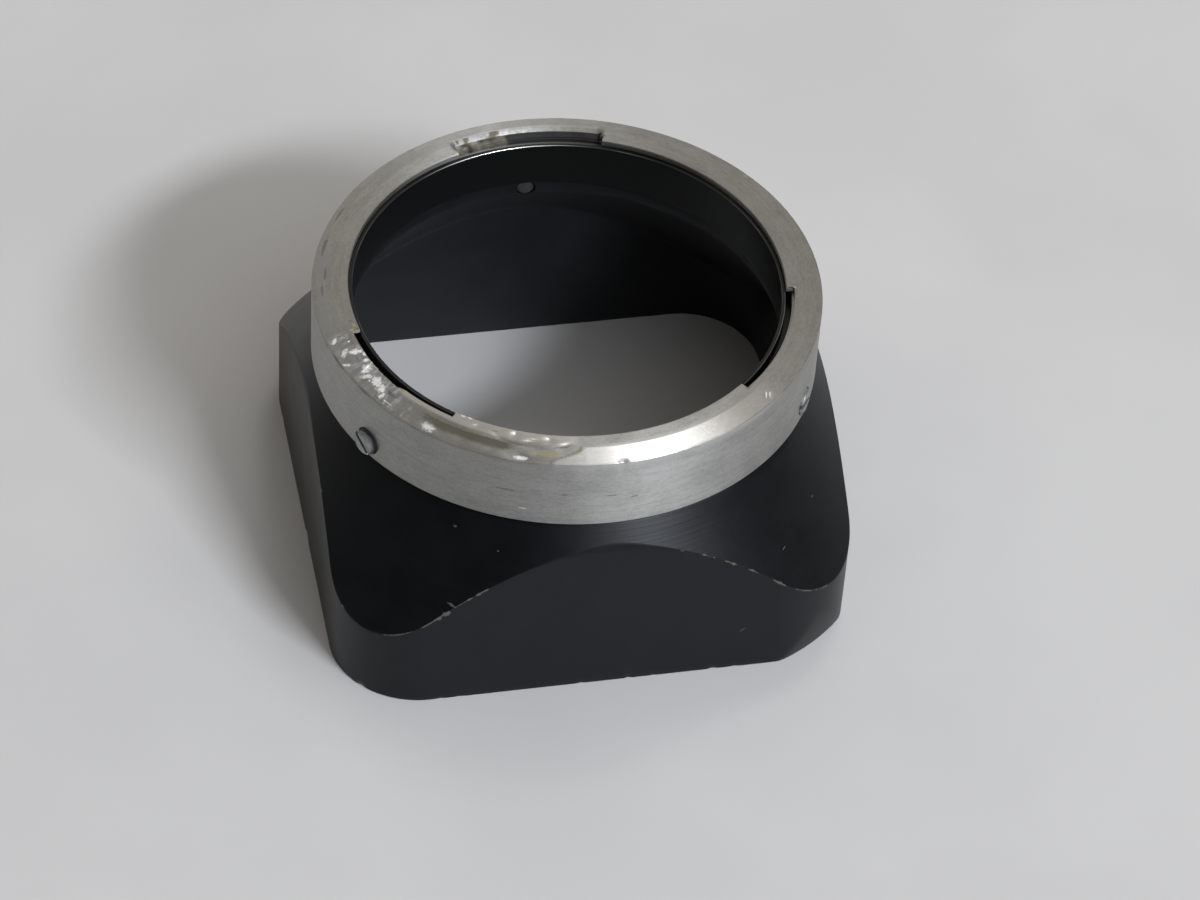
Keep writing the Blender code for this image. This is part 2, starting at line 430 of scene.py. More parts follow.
def smooth(mesh: bpy.types.Mesh) -> None:
    """Shade a mesh smooth, with sharp edges where its faces meet at more than the sharp angle."""
    mesh.shade_smooth()
    mesh.set_sharp_from_angle(angle=SHARP_ANGLE)


def settle(obj: Piece) -> Piece:
    """Turn an object's modifiers into a plain mesh with smooth faces and sharp edges.

    Args:
        obj: The object.

    Returns:
        The same object, with no modifiers.
    """
    bpy.context.view_layer.update()
    graph = bpy.context.evaluated_depsgraph_get()
    mesh = bpy.data.meshes.new_from_object(obj.evaluated_get(graph))
    obj.modifiers.clear()
    obj.data = mesh
    mesh.name = obj.name
    smooth(mesh)
    return obj


def cut_with(obj: Piece, cutters: Sequence[Piece]) -> Piece:
    """Cut closed meshes out of an object.

    Args:
        obj: The object to cut.
        cutters: The objects to take away, which are removed.

    Returns:
        The object with a plain mesh.
    """
    for cutter in cutters:
        modifier = obj.modifiers.new("cut", "BOOLEAN")
        modifier.operation = "DIFFERENCE"
        modifier.solver = "MANIFOLD"
        modifier.object = cutter
    settle(obj)
    for cutter in cutters:
        bpy.data.objects.remove(cutter)
    return obj


def radial_frame(angle: float, radius: float, height: float) -> Matrix:
    """The place, in metres, of a shape whose own +Z points out from the axis.

    Args:
        angle: Its angle in degrees.
        radius: Its distance from the axis.
        height: Its height.

    Returns:
        The matrix.
    """
    turn = Matrix.Rotation(math.radians(angle), 4, "Z") @ Matrix.Rotation(math.pi / 2, 4, "Y")
    spot = turn.to_3x3() @ Vector((0.0, 0.0, radius)) + Vector((0.0, 0.0, height))
    return Matrix.Translation(spot * MM) @ turn


def radial_drill(angle: float, inner: float, outer: float, radii: tuple[float, float]) -> Piece:
    """A round cutter that points out from the axis at the height of the set screws.

    Args:
        angle: Its angle in degrees.
        inner: Where it starts, from the axis.
        outer: Where it ends.
        radii: Its radius at both ends.

    Returns:
        The cutter.
    """
    mesh = bpy.data.meshes.new("drill")
    edit = bmesh.new()
    bmesh.ops.create_cone(
        edit,
        cap_ends=True,
        segments=48,
        radius1=radii[0] * MM,
        radius2=radii[1] * MM,
        depth=(outer - inner) * MM,
        matrix=radial_frame(angle, (inner + outer) / 2, SCREW_HEIGHT),
    )
    edit.to_mesh(mesh)
    edit.free()
    return shown("drill", mesh)


def cylinder_places(mesh: bpy.types.Mesh) -> tuple[Array, Array, Array]:
    """Where a mesh's points lie round the axis.

    Args:
        mesh: The mesh.

    Returns:
        Angles in degrees, and distances from the axis and heights in millimetres.
    """
    flat = np.zeros(len(mesh.vertices) * 3)
    mesh.vertices.foreach_get("co", flat)
    x, y, z = flat.reshape(-1, 3).T / MM
    return np.degrees(np.arctan2(y, x)) % 360.0, np.hypot(x, y), z


def paint(mesh: bpy.types.Mesh, wear: Wear, values: Array) -> None:
    """Write one wear attribute on a mesh's points."""
    attribute = mesh.attributes.new(wear.value, "FLOAT", "POINT")
    attribute.data.foreach_set("value", np.clip(values, 0.0, 2.0).astype(np.float32))


class NodeWriter:
    """A writer of nodes and links in one node tree."""

    def __init__(self, tree: bpy.types.NodeTree) -> None:
        """Start on a tree."""
        self.tree = tree

    def feed(self, socket: Socket, value: Feed) -> None:
        """Link a socket to another one or set its value.

        Args:
            socket: The socket to feed.
            value: The other socket, or the value.
        """
        if isinstance(value, Socket):
            self.tree.links.new(value, socket)
        else:
            socket.default_value = value

    def node(self, kind: str, inputs: dict | None = None, **settings: Any) -> bpy.types.Node:
        """Add a node.

        Args:
            kind: The node's type.
            inputs: Values or sockets by input name or number.
            settings: The node's own properties.

        Returns:
            The node.
        """
        made = self.tree.nodes.new(kind)
        for key, value in settings.items():
            setattr(made, key, value)
        for key, value in (inputs or {}).items():
            self.feed(made.inputs[key], value)
        return made

    def math(self, operation: str, first: Feed, second: Feed = 0.0) -> Socket:
        """One step of arithmetic."""
        return self.node("ShaderNodeMath", {0: first, 1: second}, operation=operation).outputs[0]

    def scaled(self, value: Feed, factor: float, added: Feed) -> Socket:
        """A value times a factor, plus another value."""
        inputs = {0: value, 1: factor, 2: added}
        return self.node("ShaderNodeMath", inputs, operation="MULTIPLY_ADD").outputs[0]

    def span(self, share: Feed, low: float, high: float) -> Socket:
        """A value that goes from low to high as share goes from 0 to 1."""
        return self.scaled(share, high - low, low)

    def band(self, value: Feed, low: float, high: float) -> Socket:
        """0 below low and 1 above high, with a smooth step between."""
        inputs = {"Value": value, "From Min": low, "From Max": high}
        return self.node("ShaderNodeMapRange", inputs, interpolation_type="SMOOTHSTEP").outputs[0]


class Shader(NodeWriter):
    """A writer of the nodes of one material."""

    def __init__(self, name: str, fixed: dict[str, Any]) -> None:
        """Start a Principled material.

        Args:
            name: The finish's name.
            fixed: Values that are the same all over, by socket name.
        """
        self.material = bpy.data.materials.new(name)
        self.material.use_nodes = True
        super().__init__(self.material.node_tree)
        self.surface = self.tree.nodes["Principled BSDF"]
        for socket, value in fixed.items():
            self.surface.inputs[socket].default_value = value
        self.coordinates = self.node("ShaderNodeTexCoord").outputs["Object"]

    def times(self, first: Feed, second: Feed) -> Socket:
        """The product of two values."""
        return self.math("MULTIPLY", first, second)

    def most(self, first: Feed, *others: Feed) -> Socket:
        """The largest of several values.

        Args:
            first: One value.
            others: The other values.

        Returns:
            The largest.
        """
        for value in others:
            first = self.math("MAXIMUM", first, value)
        return first

    def blend(self, *parts: tuple[Feed, float]) -> Socket:
        """Add several values up.

        Args:
            parts: The values, each with its own weight.

        Returns:
            The sum.
        """
        total: Feed = 0.0
        for value, weight in parts:
            total = self.scaled(value, weight, total)
        return total

    def round_way(self) -> Socket:
        """The direction round the axis, along which turned metal is brushed."""
        return self.node("ShaderNodeTangent", direction_type="RADIAL", axis="Z").outputs[0]

    def place(self, scale: float = 1.0) -> Socket:
        """Object coordinates in millimetres, scaled."""
        inputs = {"Vector": self.coordinates, "Scale": (scale / MM,) * 3}
        return self.node("ShaderNodeMapping", inputs).outputs[0]

    def cylinder(self) -> tuple[Socket, ...]:
        """Where a point lies round the axis.

        Returns:
            X, Y, Z and the distance from the axis, in millimetres.
        """
        x, y, z = self.node("ShaderNodeSeparateXYZ", {0: self.place()}).outputs
        squares = self.math("ADD", self.times(x, x), self.times(y, y))
        return x, y, z, self.math("SQRT", squares)

    def lathe(self, around: float, across: float) -> Socket:
        """Coordinates that run slowly round the axis and fast across turned faces.

        Args:
            around: Cells for each radian round the axis.
            across: Cells for each millimetre across.

        Returns:
            The vector for a texture.
        """
        x, y, z, radius = self.cylinder()
        inputs = {
            0: self.times(self.math("DIVIDE", x, radius), around),
            1: self.times(self.math("DIVIDE", y, radius), around),
            2: self.times(self.math("SUBTRACT", z, radius), across),
        }
        return self.node("ShaderNodeCombineXYZ", inputs).outputs[0]

    def unrolled(self) -> Socket:
        """Coordinates of a turned piece that is rolled out flat.

        Returns:
            The arc at the ring's radius and the height less the radius, in millimetres.
        """
        x, y, z, radius = self.cylinder()
        turn = self.math("ARCTAN2", self.times(y, -1.0), self.times(x, -1.0))
        arc = self.span(turn, math.pi * RING_RADIUS, (math.pi + 1.0) * RING_RADIUS)
        inputs = {0: arc, 1: self.math("SUBTRACT", z, radius)}
        return self.node("ShaderNodeCombineXYZ", inputs).outputs[0]

    def stains(self, marks: Sequence[Stain], ragged: float) -> Socket:
        """How strongly oblong marks cover a point.

        Args:
            marks: The marks.
            ragged: How far noise pushes their outlines in and out.

        Returns:
            0 outside the marks, 1 inside them.
        """
        flat = self.unrolled()
        nearest: Feed = 9.0
        for mark in marks:
            inputs = {
                "Vector": flat,
                "Location": (math.radians(mark.angle) * RING_RADIUS, mark.along, 0.0),
                "Rotation": (0.0, 0.0, math.radians(mark.turn)),
                "Scale": (mark.length, mark.width, 1.0),
            }
            local = self.node("ShaderNodeMapping", inputs, vector_type="TEXTURE").outputs[0]
            away = self.node("ShaderNodeVectorMath", {0: local}, operation="LENGTH").outputs["Value"]
            nearest = self.math("MINIMUM", away, nearest)
        push = self.span(self.noise(self.place(), 4.5, 4.0), -ragged, ragged)
        return self.band(self.math("ADD", nearest, push), 1.2, 0.5)

    def noise(self, vector: Feed, scale: float, detail: float = 3.0) -> Socket:
        """Soft noise on a vector, from about 0.2 to 0.8."""
        inputs = {"Vector": vector, "Scale": scale, "Detail": detail}
        return self.node("ShaderNodeTexNoise", inputs).outputs["Fac"]

    def attribute(self, wear: Wear) -> Socket:
        """A wear attribute of the piece."""
        return self.node("ShaderNodeAttribute", attribute_name=wear.value).outputs["Fac"]

    def mix(self, share: Feed, first: Feed, second: Feed) -> Socket:
        """A colour between two colours."""
        inputs = {0: share, 6: first, 7: second}
        return self.node("ShaderNodeMix", inputs, data_type="RGBA").outputs[2]

    def bump(self, height: Feed, distance: float, below: Socket | None = None) -> Socket:
        """A normal from a height.

        Args:
            height: The height, from 0 to 1.
            distance: How many millimetres 1 stands for.
            below: The normal that it lies on.

        Returns:
            The normal.
        """
        inputs: dict = {"Height": height, "Distance": distance * MM, "Strength": 1.0}
        if below is not None:
            inputs["Normal"] = below
        return self.node("ShaderNodeBump", inputs).outputs[0]

    def finish(self, sockets: dict[str, Feed]) -> bpy.types.Material:
        """Feed the shader's sockets.

        Args:
            sockets: Values or sockets by socket name.

        Returns:
            The material.
        """
        for name, value in sockets.items():
            self.feed(self.surface.inputs[name], value)
        return self.material


@dataclass(frozen=True)
class BlackAnodising:
    """Satin black anodising, with lathe lines on turned faces, worn edges, chips and specks."""

    name: str
    dark: Colour
    light: Colour
    roughness: float
    lines: float
    gloss: float
    chips: tuple[Stain, ...] = ()
    specks: tuple[Stain, ...] = ()
    bare: Colour = (0.118, 0.113, 0.104, 1.0)
    tint: Colour = (0.90, 0.94, 1.0, 1.0)
    dust: Colour = (0.075, 0.080, 0.088, 1.0)

    def material(self) -> bpy.types.Material:
        """Build the finish.

        Returns:
            The material.
        """
        fixed = {
            "Specular IOR Level": self.gloss,
            "Specular Tint": self.tint,
            "IOR": 1.5,
            "Anisotropic": 0.5 * self.lines,
            "Anisotropic Rotation": 0.25,
        }
        shader = Shader(self.name, fixed)
        cloud = shader.noise(shader.place(), 0.35, 4.0)
        fleck = shader.noise(shader.place(), 9.0, 2.0)
        line = shader.noise(shader.lathe(2.5, 9.0), 1.0, 3.0)
        groove = shader.noise(shader.lathe(1.2, 2.6), 1.0, 2.0)
        tone = shader.blend((cloud, 0.7), (line, self.lines * 0.5))
        colour = shader.mix(shader.band(tone, 0.2, 0.75), self.dark, self.light)
        worn = shader.blend((shader.attribute(Wear.EDGE), 1.0), (fleck, 0.8))
        chip = shader.band(worn, 0.85, 1.05)
        if self.chips:
            chip = shader.most(chip, shader.stains(self.chips, 0.9))
        if self.specks:
            colour = shader.mix(shader.times(shader.stains(self.specks, 0.7), 0.8), colour, self.dust)
        uneven = shader.blend((cloud, 0.10), (line, 0.10 * self.lines))
        grain = shader.bump(fleck, 0.0012)
        grain = shader.bump(groove, 0.006 * self.lines, grain)
        return shader.finish(
            {
                "Base Color": shader.mix(chip, colour, self.bare),
                "Roughness": shader.math("ADD", uneven, self.roughness - 0.08),
                "Metallic": shader.times(chip, 0.4),
                "Normal": shader.bump(line, 0.0025 * self.lines, grain),
                "Tangent": shader.round_way(),
            }
        )


@dataclass(frozen=True)
class BareAluminium:
    """Turned bare aluminium, dulled by handling, polished in front with a painted highlight there,
    torn, scuffed and stained, with painted shade in the back notch.
    """

    scuffs: tuple[Stain, ...]
    flecks: tuple[Stain, ...]
    yellow: tuple[Stain, ...]
    name: str = "bare_aluminium"
    dull: Colour = (0.343, 0.343, 0.332, 1.0)
    bright: Colour = (0.454, 0.453, 0.441, 1.0)
    torn: Colour = (0.32, 0.325, 0.338, 1.0)
    white: Colour = (0.80, 0.80, 0.805, 1.0)
    soil_and_shade: Colour = (0.105, 0.097, 0.072, 1.0)
    ochre: Colour = (0.29, 0.245, 0.12, 1.0)
    black: Colour = (0.012, 0.0125, 0.0135, 1.0)

    def material(self) -> bpy.types.Material:
        """Build the finish.

        Returns:
            The material.
        """
        shader = Shader(self.name, {"Anisotropic": 0.75, "Anisotropic Rotation": 0.25})
        cloud = shader.noise(shader.place(), 0.45, 4.0)
        pit = shader.noise(shader.place(), 4.0, 4.0)
        speckle = shader.noise(shader.place(), 7.0, 2.0)
        streak = shader.noise(shader.lathe(38.0, 8.0), 1.0, 3.0)
        broad = shader.noise(shader.lathe(5.0, 2.5), 1.0, 3.0)
        tone = shader.blend((streak, 0.3), (broad, 0.22), (cloud, 0.23), (speckle, 0.25))
        metal = shader.mix(shader.band(tone, 0.38, 0.62), self.dull, self.bright)
        gouge = shader.attribute(Wear.GOUGE)
        polish_and_highlight = shader.attribute(Wear.EDGE)
        fleck = shader.stains(self.flecks, 0.9)
        metal = shader.mix(gouge, metal, self.torn)
        # Painted highlight, partly real polish: the front bevel is mixed towards white where the polish
        # attribute is high
        metal = shader.mix(shader.most(fleck, shader.times(polish_and_highlight, 0.5)), metal, self.white)
        grime = shader.attribute(Wear.GRIME)
        # The grime attribute here holds both real grime and the back notch's painted shade, so the soil
        # colour paints both
        cloudy = shader.blend((grime, 1.0), (cloud, 0.7), (pit, 0.4))
        scuff = shader.times(shader.stains(self.scuffs, 0.9), 0.7)
        smear_and_shade = shader.most(shader.band(cloudy, 0.85, 1.5), scuff)
        yellow = shader.stains(self.yellow, 0.9)
        colour = shader.mix(smear_and_shade, shader.mix(shader.times(yellow, 0.8), metal, self.ochre), self.soil_and_shade)
        # Painted shade: where the grime attribute runs past 1, in the back notch's hollow, the metal is
        # painted black
        colour = shader.mix(shader.band(grime, 1.0, 1.5), colour, self.black)
        dirt_and_shade = shader.most(smear_and_shade, yellow)
        rough = shader.blend((shader.span(cloud, 0.42, 0.52), 1.0), (dirt_and_shade, 0.1), (polish_and_highlight, -0.24))
        dulled = shader.most(dirt_and_shade, shader.times(fleck, 0.8), shader.times(gouge, 0.4))
        brushed = shader.bump(streak, 0.0008)
        brushed = shader.bump(broad, 0.0008, brushed)
        return shader.finish(
            {
                "Base Color": colour,
                "Roughness": rough,
                "Metallic": shader.span(dulled, 1.0, 0.3),
                "Normal": shader.bump(pit, 0.001, brushed),
                "Tangent": shader.round_way(),
            }
        )


@dataclass(frozen=True)
class WornSleeve:
    """Black on the pressure ring, rubbed to bright metal at its rim."""

    name: str = "worn_sleeve"
    black: Colour = (0.0035, 0.0038, 0.0042, 1.0)
    bright: Colour = (0.66, 0.66, 0.65, 1.0)

    def material(self) -> bpy.types.Material:
        """Build the finish.

        Returns:
            The material.
        """
        shader = Shader(self.name, {"Specular IOR Level": 0.3})
        patch = shader.noise(shader.lathe(3.0, 5.0), 1.0, 3.0)
        line = shader.noise(shader.lathe(3.0, 12.0), 1.0, 3.0)
        rub = shader.blend((shader.attribute(Wear.EDGE), 1.0), (patch, 0.4))
        rub = shader.band(rub, 0.45, 1.15)
        return shader.finish(
            {
                "Base Color": shader.mix(rub, self.black, self.bright),
                "Roughness": shader.span(rub, 0.42, 0.24),
                "Metallic": rub,
                "Normal": shader.bump(line, 0.002),
            }
        )


@dataclass(frozen=True)
class Steel:
    """Plain steel of the screws and the spring, dark where grime or painted shade sits."""

    name: str
    dull: Colour
    bright: Colour
    roughness: float
    soil_and_shade: Colour = (0.014, 0.014, 0.0145, 1.0)

    def material(self) -> bpy.types.Material:
        """Build the finish.

        Returns:
            The material.
        """
        shader = Shader(self.name, {})
        cloud = shader.noise(shader.place(), 2.2, 4.0)
        scratch = shader.noise(shader.place(), 12.0, 3.0)
        grime = shader.attribute(Wear.GRIME)
        steel = shader.mix(shader.band(cloud, 0.35, 0.65), self.dull, self.bright)
        return shader.finish(
            {
                "Base Color": shader.mix(grime, steel, self.soil_and_shade),
                "Roughness": shader.span(scratch, self.roughness - 0.1, self.roughness + 0.15),
                "Metallic": shader.span(grime, 1.0, 0.4),
                "Normal": shader.bump(scratch, 0.003),
            }
        )


@dataclass(frozen=True)
class PaleTable:
    """The pale, faintly uneven table top."""

    name: str = "pale_table"
    shade: Colour = (0.545, 0.545, 0.552, 1.0)
    light: Colour = (0.575, 0.575, 0.58, 1.0)

    def material(self) -> bpy.types.Material:
        """Build the finish.

        Returns:
            The material.
        """
        shader = Shader(self.name, {"Specular IOR Level": 0.3, "Roughness": 0.55})
        cloud = shader.noise(shader.place(), 0.03, 5.0)
        mottled = shader.mix(shader.band(cloud, 0.35, 0.65), self.shade, self.light)
        return shader.finish({"Base Color": mottled})


class Assembly(ABC):
    """A sub-assembly that becomes one finished piece on one body."""

    BODY: ClassVar[Body] = Body.HOOD
    NODES: ClassVar[tuple[str, ...]]
    SLOT: ClassVar[str]

    @abstractmethod
    def build(self) -> Piece:
        """Make the piece."""

    @abstractmethod
    def dress(self, piece: Piece) -> None:
        """Give the piece its wear, or for the spring a mesh of its own."""

    def fasten(self, piece: Piece) -> None:
        """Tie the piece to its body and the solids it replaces.

        Args:
            piece: The finished piece.
        """
        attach(piece, self.BODY.value)
        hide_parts(*self.NODES)


@dataclass
class HoodShell(Assembly):
    """The black shell: a turned cone and neck on a square skirt, hollow inside."""

    NODES: ClassVar[tuple[str, ...]] = ("hood_shell",)
    SLOT: ClassVar[str] = "shell"

    flat_half: float = 21.749
    corner_radius: float = 7.3
    wall: float = 0.7
    cone_angle: float = 55.2
    shoulder_radius: float = 20.3
    shoulder_height: float = 17.798
    neck_radius: float = 19.5
    neck_top: float = 23.348
    well_radius: float = 18.9
    seat_height: float = 21.548
    cone_wall: float = 1.2
    point_hole: float = 0.8
    neck_middle: float = 21.5
    edge: float = 0.07
    crown: float = 0.40
    crown_spread: float = 9.0
    knock_angle: float = 304.5
    knock_depth: float = 1.0
    knock_height: float = 5.0
    knocked_rim: Sector = Sector(304.0, 321.0, 4.0)
    foot_round: float = 0.12
    columns: int = 720

    def outline(self, angle: Array, inset: float) -> Array:
        """The rounded square's distance from the axis.

        Args:
            angle: Angles in degrees.
            inset: How far the outline lies inside the skirt's outside.

        Returns:
            Distances in millimetres.
        """
        fold = np.radians(45.0 - np.abs(angle % 90.0 - 45.0))
        half = self.flat_half - inset
        radius = self.corner_radius - inset
        centre = half - radius
        on_flat = half / np.cos(fold)
        offset = centre * (np.cos(fold) - np.sin(fold))
        inside = np.sqrt(np.maximum(radius**2 - offset**2, 0.0))
        on_corner = centre * (np.cos(fold) + np.sin(fold)) + inside
        return np.where(half * np.tan(fold) <= centre, on_flat, on_corner)

    def slope(self) -> float:
        """The cone's fall for each millimetre outwards."""
        return math.tan(math.radians(self.cone_angle))

    def arch(self, angle: Array) -> Array:
        """Heights of the arched edge where the cone meets the skirt."""
        return self.shoulder_height - (self.outline(angle, 0.0) - self.shoulder_radius) * self.slope()

    def edge_size(self, angle: Array) -> Array:
        """How far the arched edge is rounded: most at the crown of each arch.

        Args:
            angle: Angles in degrees.

        Returns:
            Distances in millimetres.
        """
        fold = 45.0 - np.abs(angle % 90.0 - 45.0)
        return self.edge + self.crown * np.exp(-((fold / self.crown_spread) ** 2))

    def edge_wear(self, angle: Array) -> Array:
        """How worn the arched edge is at each angle.

        Args:
            angle: Angles in degrees.

        Returns:
            0 for black edges, 1 for bare ones.
        """
        worn = 0.25 * Grain(12, 90).at(angle, np.zeros_like(angle))
        for first, last, bare in self.bare_spans():
            worn = np.maximum(worn, bare * Sector(first, last, 1.0).at(angle))
        return worn

    def bare_spans(self) -> tuple[tuple[float, float, float], ...]:
        """Stretches of the arched edge that are rubbed bare.

        Returns:
            The first and the last angle of each, and how far it is bare.
        """
        left = ((228.0, 233.5, 0.62), (234.5, 239.0, 0.85), (239.0, 243.0, 0.6), (243.0, 245.5, 0.8))
        right = ((284.0, 286.0, 0.5), (288.0, 292.0, 0.55), (294.0, 296.0, 0.7), (297.5, 300.0, 0.65))
        corner = ((302.0, 304.5, 0.85), (305.5, 313.0, 0.6))
        back = ((46.0, 51.0, 0.6), (63.0, 66.0, 0.7), (118.0, 121.0, 0.6), (130.0, 137.0, 0.6))
        return left + right + corner + back + ((199.0, 203.5, 0.6),)

    def chips(self) -> tuple[Stain, ...]:
        """Chips on the arched edge and the front rim where the black has gone.

        Returns:
            The chips, those on the edge turned to lie along it.
        """
        edge = ((239.0, 0.65, 0.12, 0.34), (238.4, -0.1, 0.40, 0.18), (237.3, -0.15, 0.25, 0.12))
        edge += ((243.6, 0.0, 0.40, 0.10), (242.0, 0.0, 0.30, 0.08), (231.0, 0.0, 0.5, 0.05))
        edge += ((293.8, 0.04, 0.25, 0.08), (295.1, 0.0, 0.20, 0.10), (298.5, 0.05, 0.30, 0.08))
        edge += ((303.3, 0.04, 0.30, 0.10), (308.0, 0.0, 0.5, 0.05), (203.0, 0.0, 0.22, 0.18))
        edge += ((219.4, 0.02, 0.16, 0.10), (289.5, 0.05, 0.22, 0.08))
        edge += ((52.0, 0.2, 0.30, 0.20), (134.0, 0.2, 0.40, 0.20), (64.5, 0.0, 0.3, 0.1))
        rim = ((224.3, 0.35, 0.45), (265.0, 0.15, 0.10), (275.4, 0.18, 0.12), (293.0, 0.25, 0.12))
        rim += ((312.0, 0.2, 0.1), (317.0, 0.3, 0.1), (184.5, 0.3, 0.15), (98.0, 0.3, 0.12))
        rim += ((33.0, 0.25, 0.1),)
        marks = []
        for angle, above, length, width in edge:
            near = np.array([angle - 0.5, angle, angle + 0.5])
            low, along, high = self.arch(near) - self.outline(near, 0.0)
            turn = math.degrees(math.atan2(high - low, math.radians(1.0) * RING_RADIUS))
            marks.append(Stain(angle, float(along) + above, length, width, turn))
        for angle, length, width in rim:
            along = -float(self.outline(np.array([angle]), 0.0)[0])
            marks.append(Stain(angle, along + 0.05, length, width))
        return tuple(marks)

    def specks(self) -> tuple[Stain, ...]:
        """Pale specks and rubs on the cone and the flats.

        Returns:
            The marks.
        """
        return (
            Stain(235.6, -5.46, 0.16, 0.14),
            Stain(245.8, -6.92, 0.10, 0.10),
            Stain(319.6, -11.0, 0.14, 0.10),
            Stain(307.1, -13.19, 0.22, 0.07, 30.0),
            Stain(297.8, -20.17, 0.25, 0.07, 20.0),
            Stain(75.0, -9.1, 0.15, 0.12),
            Stain(15.0, -16.6, 0.15, 0.10),
            Stain(160.0, -18.0, 0.20, 0.12),
            Stain(128.0, -8.5, 0.18, 0.10, 40.0),
        )

    def rows(self, angle: Array) -> tuple[Array, Array, list[ShellFace]]:
        """The skin's profile at every column, from the outer foot over the top to the inner foot.

        Args:
            angle: One angle in degrees for each column.

        Returns:
            Radii and heights by column and row, and how the face after each row was cut.
        """
        outer = self.outline(angle, 0.0)
        inner = self.outline(angle, self.wall)
        arch = self.arch(angle)
        guide_foot = (
            self.shoulder_height
            + (self.shoulder_radius - GUIDE_RADIUS) * self.slope()
            - self.cone_wall / math.cos(math.radians(self.cone_angle))
        )
        inner_arch = guide_foot - (inner - GUIDE_RADIUS) * self.slope()
        run_in = math.cos(math.radians(self.cone_angle))
        run_up = math.sin(math.radians(self.cone_angle))
        soft = self.edge_size(angle)
        flat = np.ones_like(angle)
        rows: list[tuple[Array, Array, ShellFace]] = []

        def add(radius: Array, height: Array, face: ShellFace) -> None:
            """Add one row."""
            rows.append((radius * flat, height * flat, face))

        foot = ((self.foot_round, 0.0), (0.06, 0.012), (0.02, 0.05), (0.0, self.foot_round))
        for inset, height in foot:
            add(outer - inset, height, ShellFace.MILLED)
        for t in np.linspace(0.0, 1.0, 26)[1:-1]:
            add(outer, self.foot_round + t * (arch - soft - self.foot_round), ShellFace.MILLED)
        for t in np.linspace(0.0, 1.0, 7):
            bent = t * t * soft
            add(outer - bent * run_in, arch - (1 - t) ** 2 * soft + bent * run_up, ShellFace.MILLED)
        start = outer - soft * run_in
        for t in np.linspace(0.0, 1.0, 20)[1:-1] ** 1.7:
            radius = start + t * (self.shoulder_radius + 0.1 - start)
            height = self.shoulder_height - (radius - self.shoulder_radius) * self.slope()
            add(radius, height, ShellFace.TURNED)
        for radius, height in (
            (self.shoulder_radius + 0.05, self.shoulder_height - 0.06),
            (self.shoulder_radius - 0.05, self.shoulder_height - 0.005),
            (self.shoulder_radius - 0.15, self.shoulder_height),
            (self.neck_radius, self.shoulder_height),
            (self.neck_radius, self.neck_middle),
            (self.neck_radius, self.neck_top),
            (self.well_radius, self.neck_top),
            (self.well_radius, self.seat_height),
        ):
            add(radius, height, ShellFace.TURNED)
        for height in np.linspace(self.seat_height, guide_foot + 0.1, 7):
            add(GUIDE_RADIUS, height, ShellFace.INSIDE)
        inner_start = GUIDE_RADIUS + 0.08
        for t in np.linspace(0.0, 1.0, 13):
            radius = inner_start + t * (inner - 0.12 - inner_start)
            add(radius, guide_foot - (radius - GUIDE_RADIUS) * self.slope(), ShellFace.INSIDE)
        add(inner - 0.03, inner_arch - 0.03, ShellFace.INSIDE)
        for t in np.linspace(0.0, 1.0, 14):
            add(inner, (inner_arch - 0.25) * (1 - t) + self.foot_round * t, ShellFace.INSIDE)
        add(inner + 0.03, 0.03, ShellFace.INSIDE)
        add(inner + self.foot_round, 0.0, ShellFace.MILLED)
        radii = np.stack([row[0] for row in rows], axis=1)
        heights = np.stack([row[1] for row in rows], axis=1)
        return radii, heights, [row[2] for row in rows]

    def foot_marks(self) -> list[Mark]:
        """Nicks along the front rim.

        Returns:
            The nicks.
        """
        front = ((224.5, 0.3, 0.10), (238.0, 0.25, 0.05), (241.0, 0.4, 0.04), (265.0, 0.2, 0.06))
        front += ((275.5, 0.2, 0.09), (281.0, 0.2, 0.04), (293.0, 0.3, 0.10), (297.0, 0.3, 0.06))
        far = ((184.5, 0.5, 0.22), (150.0, 0.4, 0.06), (33.0, 0.3, 0.08), (98.0, 0.4, 0.08))
        far += ((352.0, 0.3, 0.08),)
        marks = []
        for angle, length, depth in front + far:
            reach = float(self.outline(np.array([angle]), 0.0)[0])
            marks.append(Mark(angle, reach, 0.0, length, 0.2, depth))
        return marks

    def knocked(self, angle: Array, heights: Array) -> Array:
        """How far the rim's front right corner is knocked in.

        Args:
            angle: One angle in degrees for each column.
            heights: Heights by column and row.

        Returns:
            Distances in millimetres by column and row.
        """
        turn = np.radians(angle - self.knock_angle)
        reach = self.outline(angle, 0.0) * np.where(np.cos(turn) > 0.0, np.cos(turn), 0.0)
        deep = self.knock_depth * np.clip(1.0 - heights / self.knock_height, 0.0, 1.0) ** 2
        over = reach[:, None] - reach.max() + deep
        return np.where(deep > 0.0, 0.3 * (over + np.sqrt(over**2 + 0.02 * deep)), 0.0)

    def build(self) -> Piece:
        """Loft the skin, knock the rim's corner in, press the nicks and drill the point holes.

        Returns:
            The shell.
        """
        angle = np.arange(self.columns) * 360.0 / self.columns
        radii, heights, faces = self.rows(angle)
        points = skin_points(angle, radii, heights)
        spread = np.broadcast_to(angle[:, None], radii.shape)
        points = dented(points, self.foot_marks(), spread, radii, heights)
        way = math.radians(self.knock_angle)
        inwards = np.array((-math.cos(way), -math.sin(way), 0.0))
        points = points + self.knocked(angle, heights)[..., None] * inwards
        shell = skin("hood_shell_skin", points)
        slots = np.tile([face.value for face in faces], self.columns)
        shell.data.polygons.foreach_set("material_index", slots.astype(np.int32))
        for finish in self.finishes():
            shell.data.materials.append(finish.material())
        hole = (self.point_hole, self.point_hole)
        drills = [radial_drill(place, DRILL_START, DRILL_END, hole) for place in SCREW_ANGLES]
        return cut_with(shell, drills)

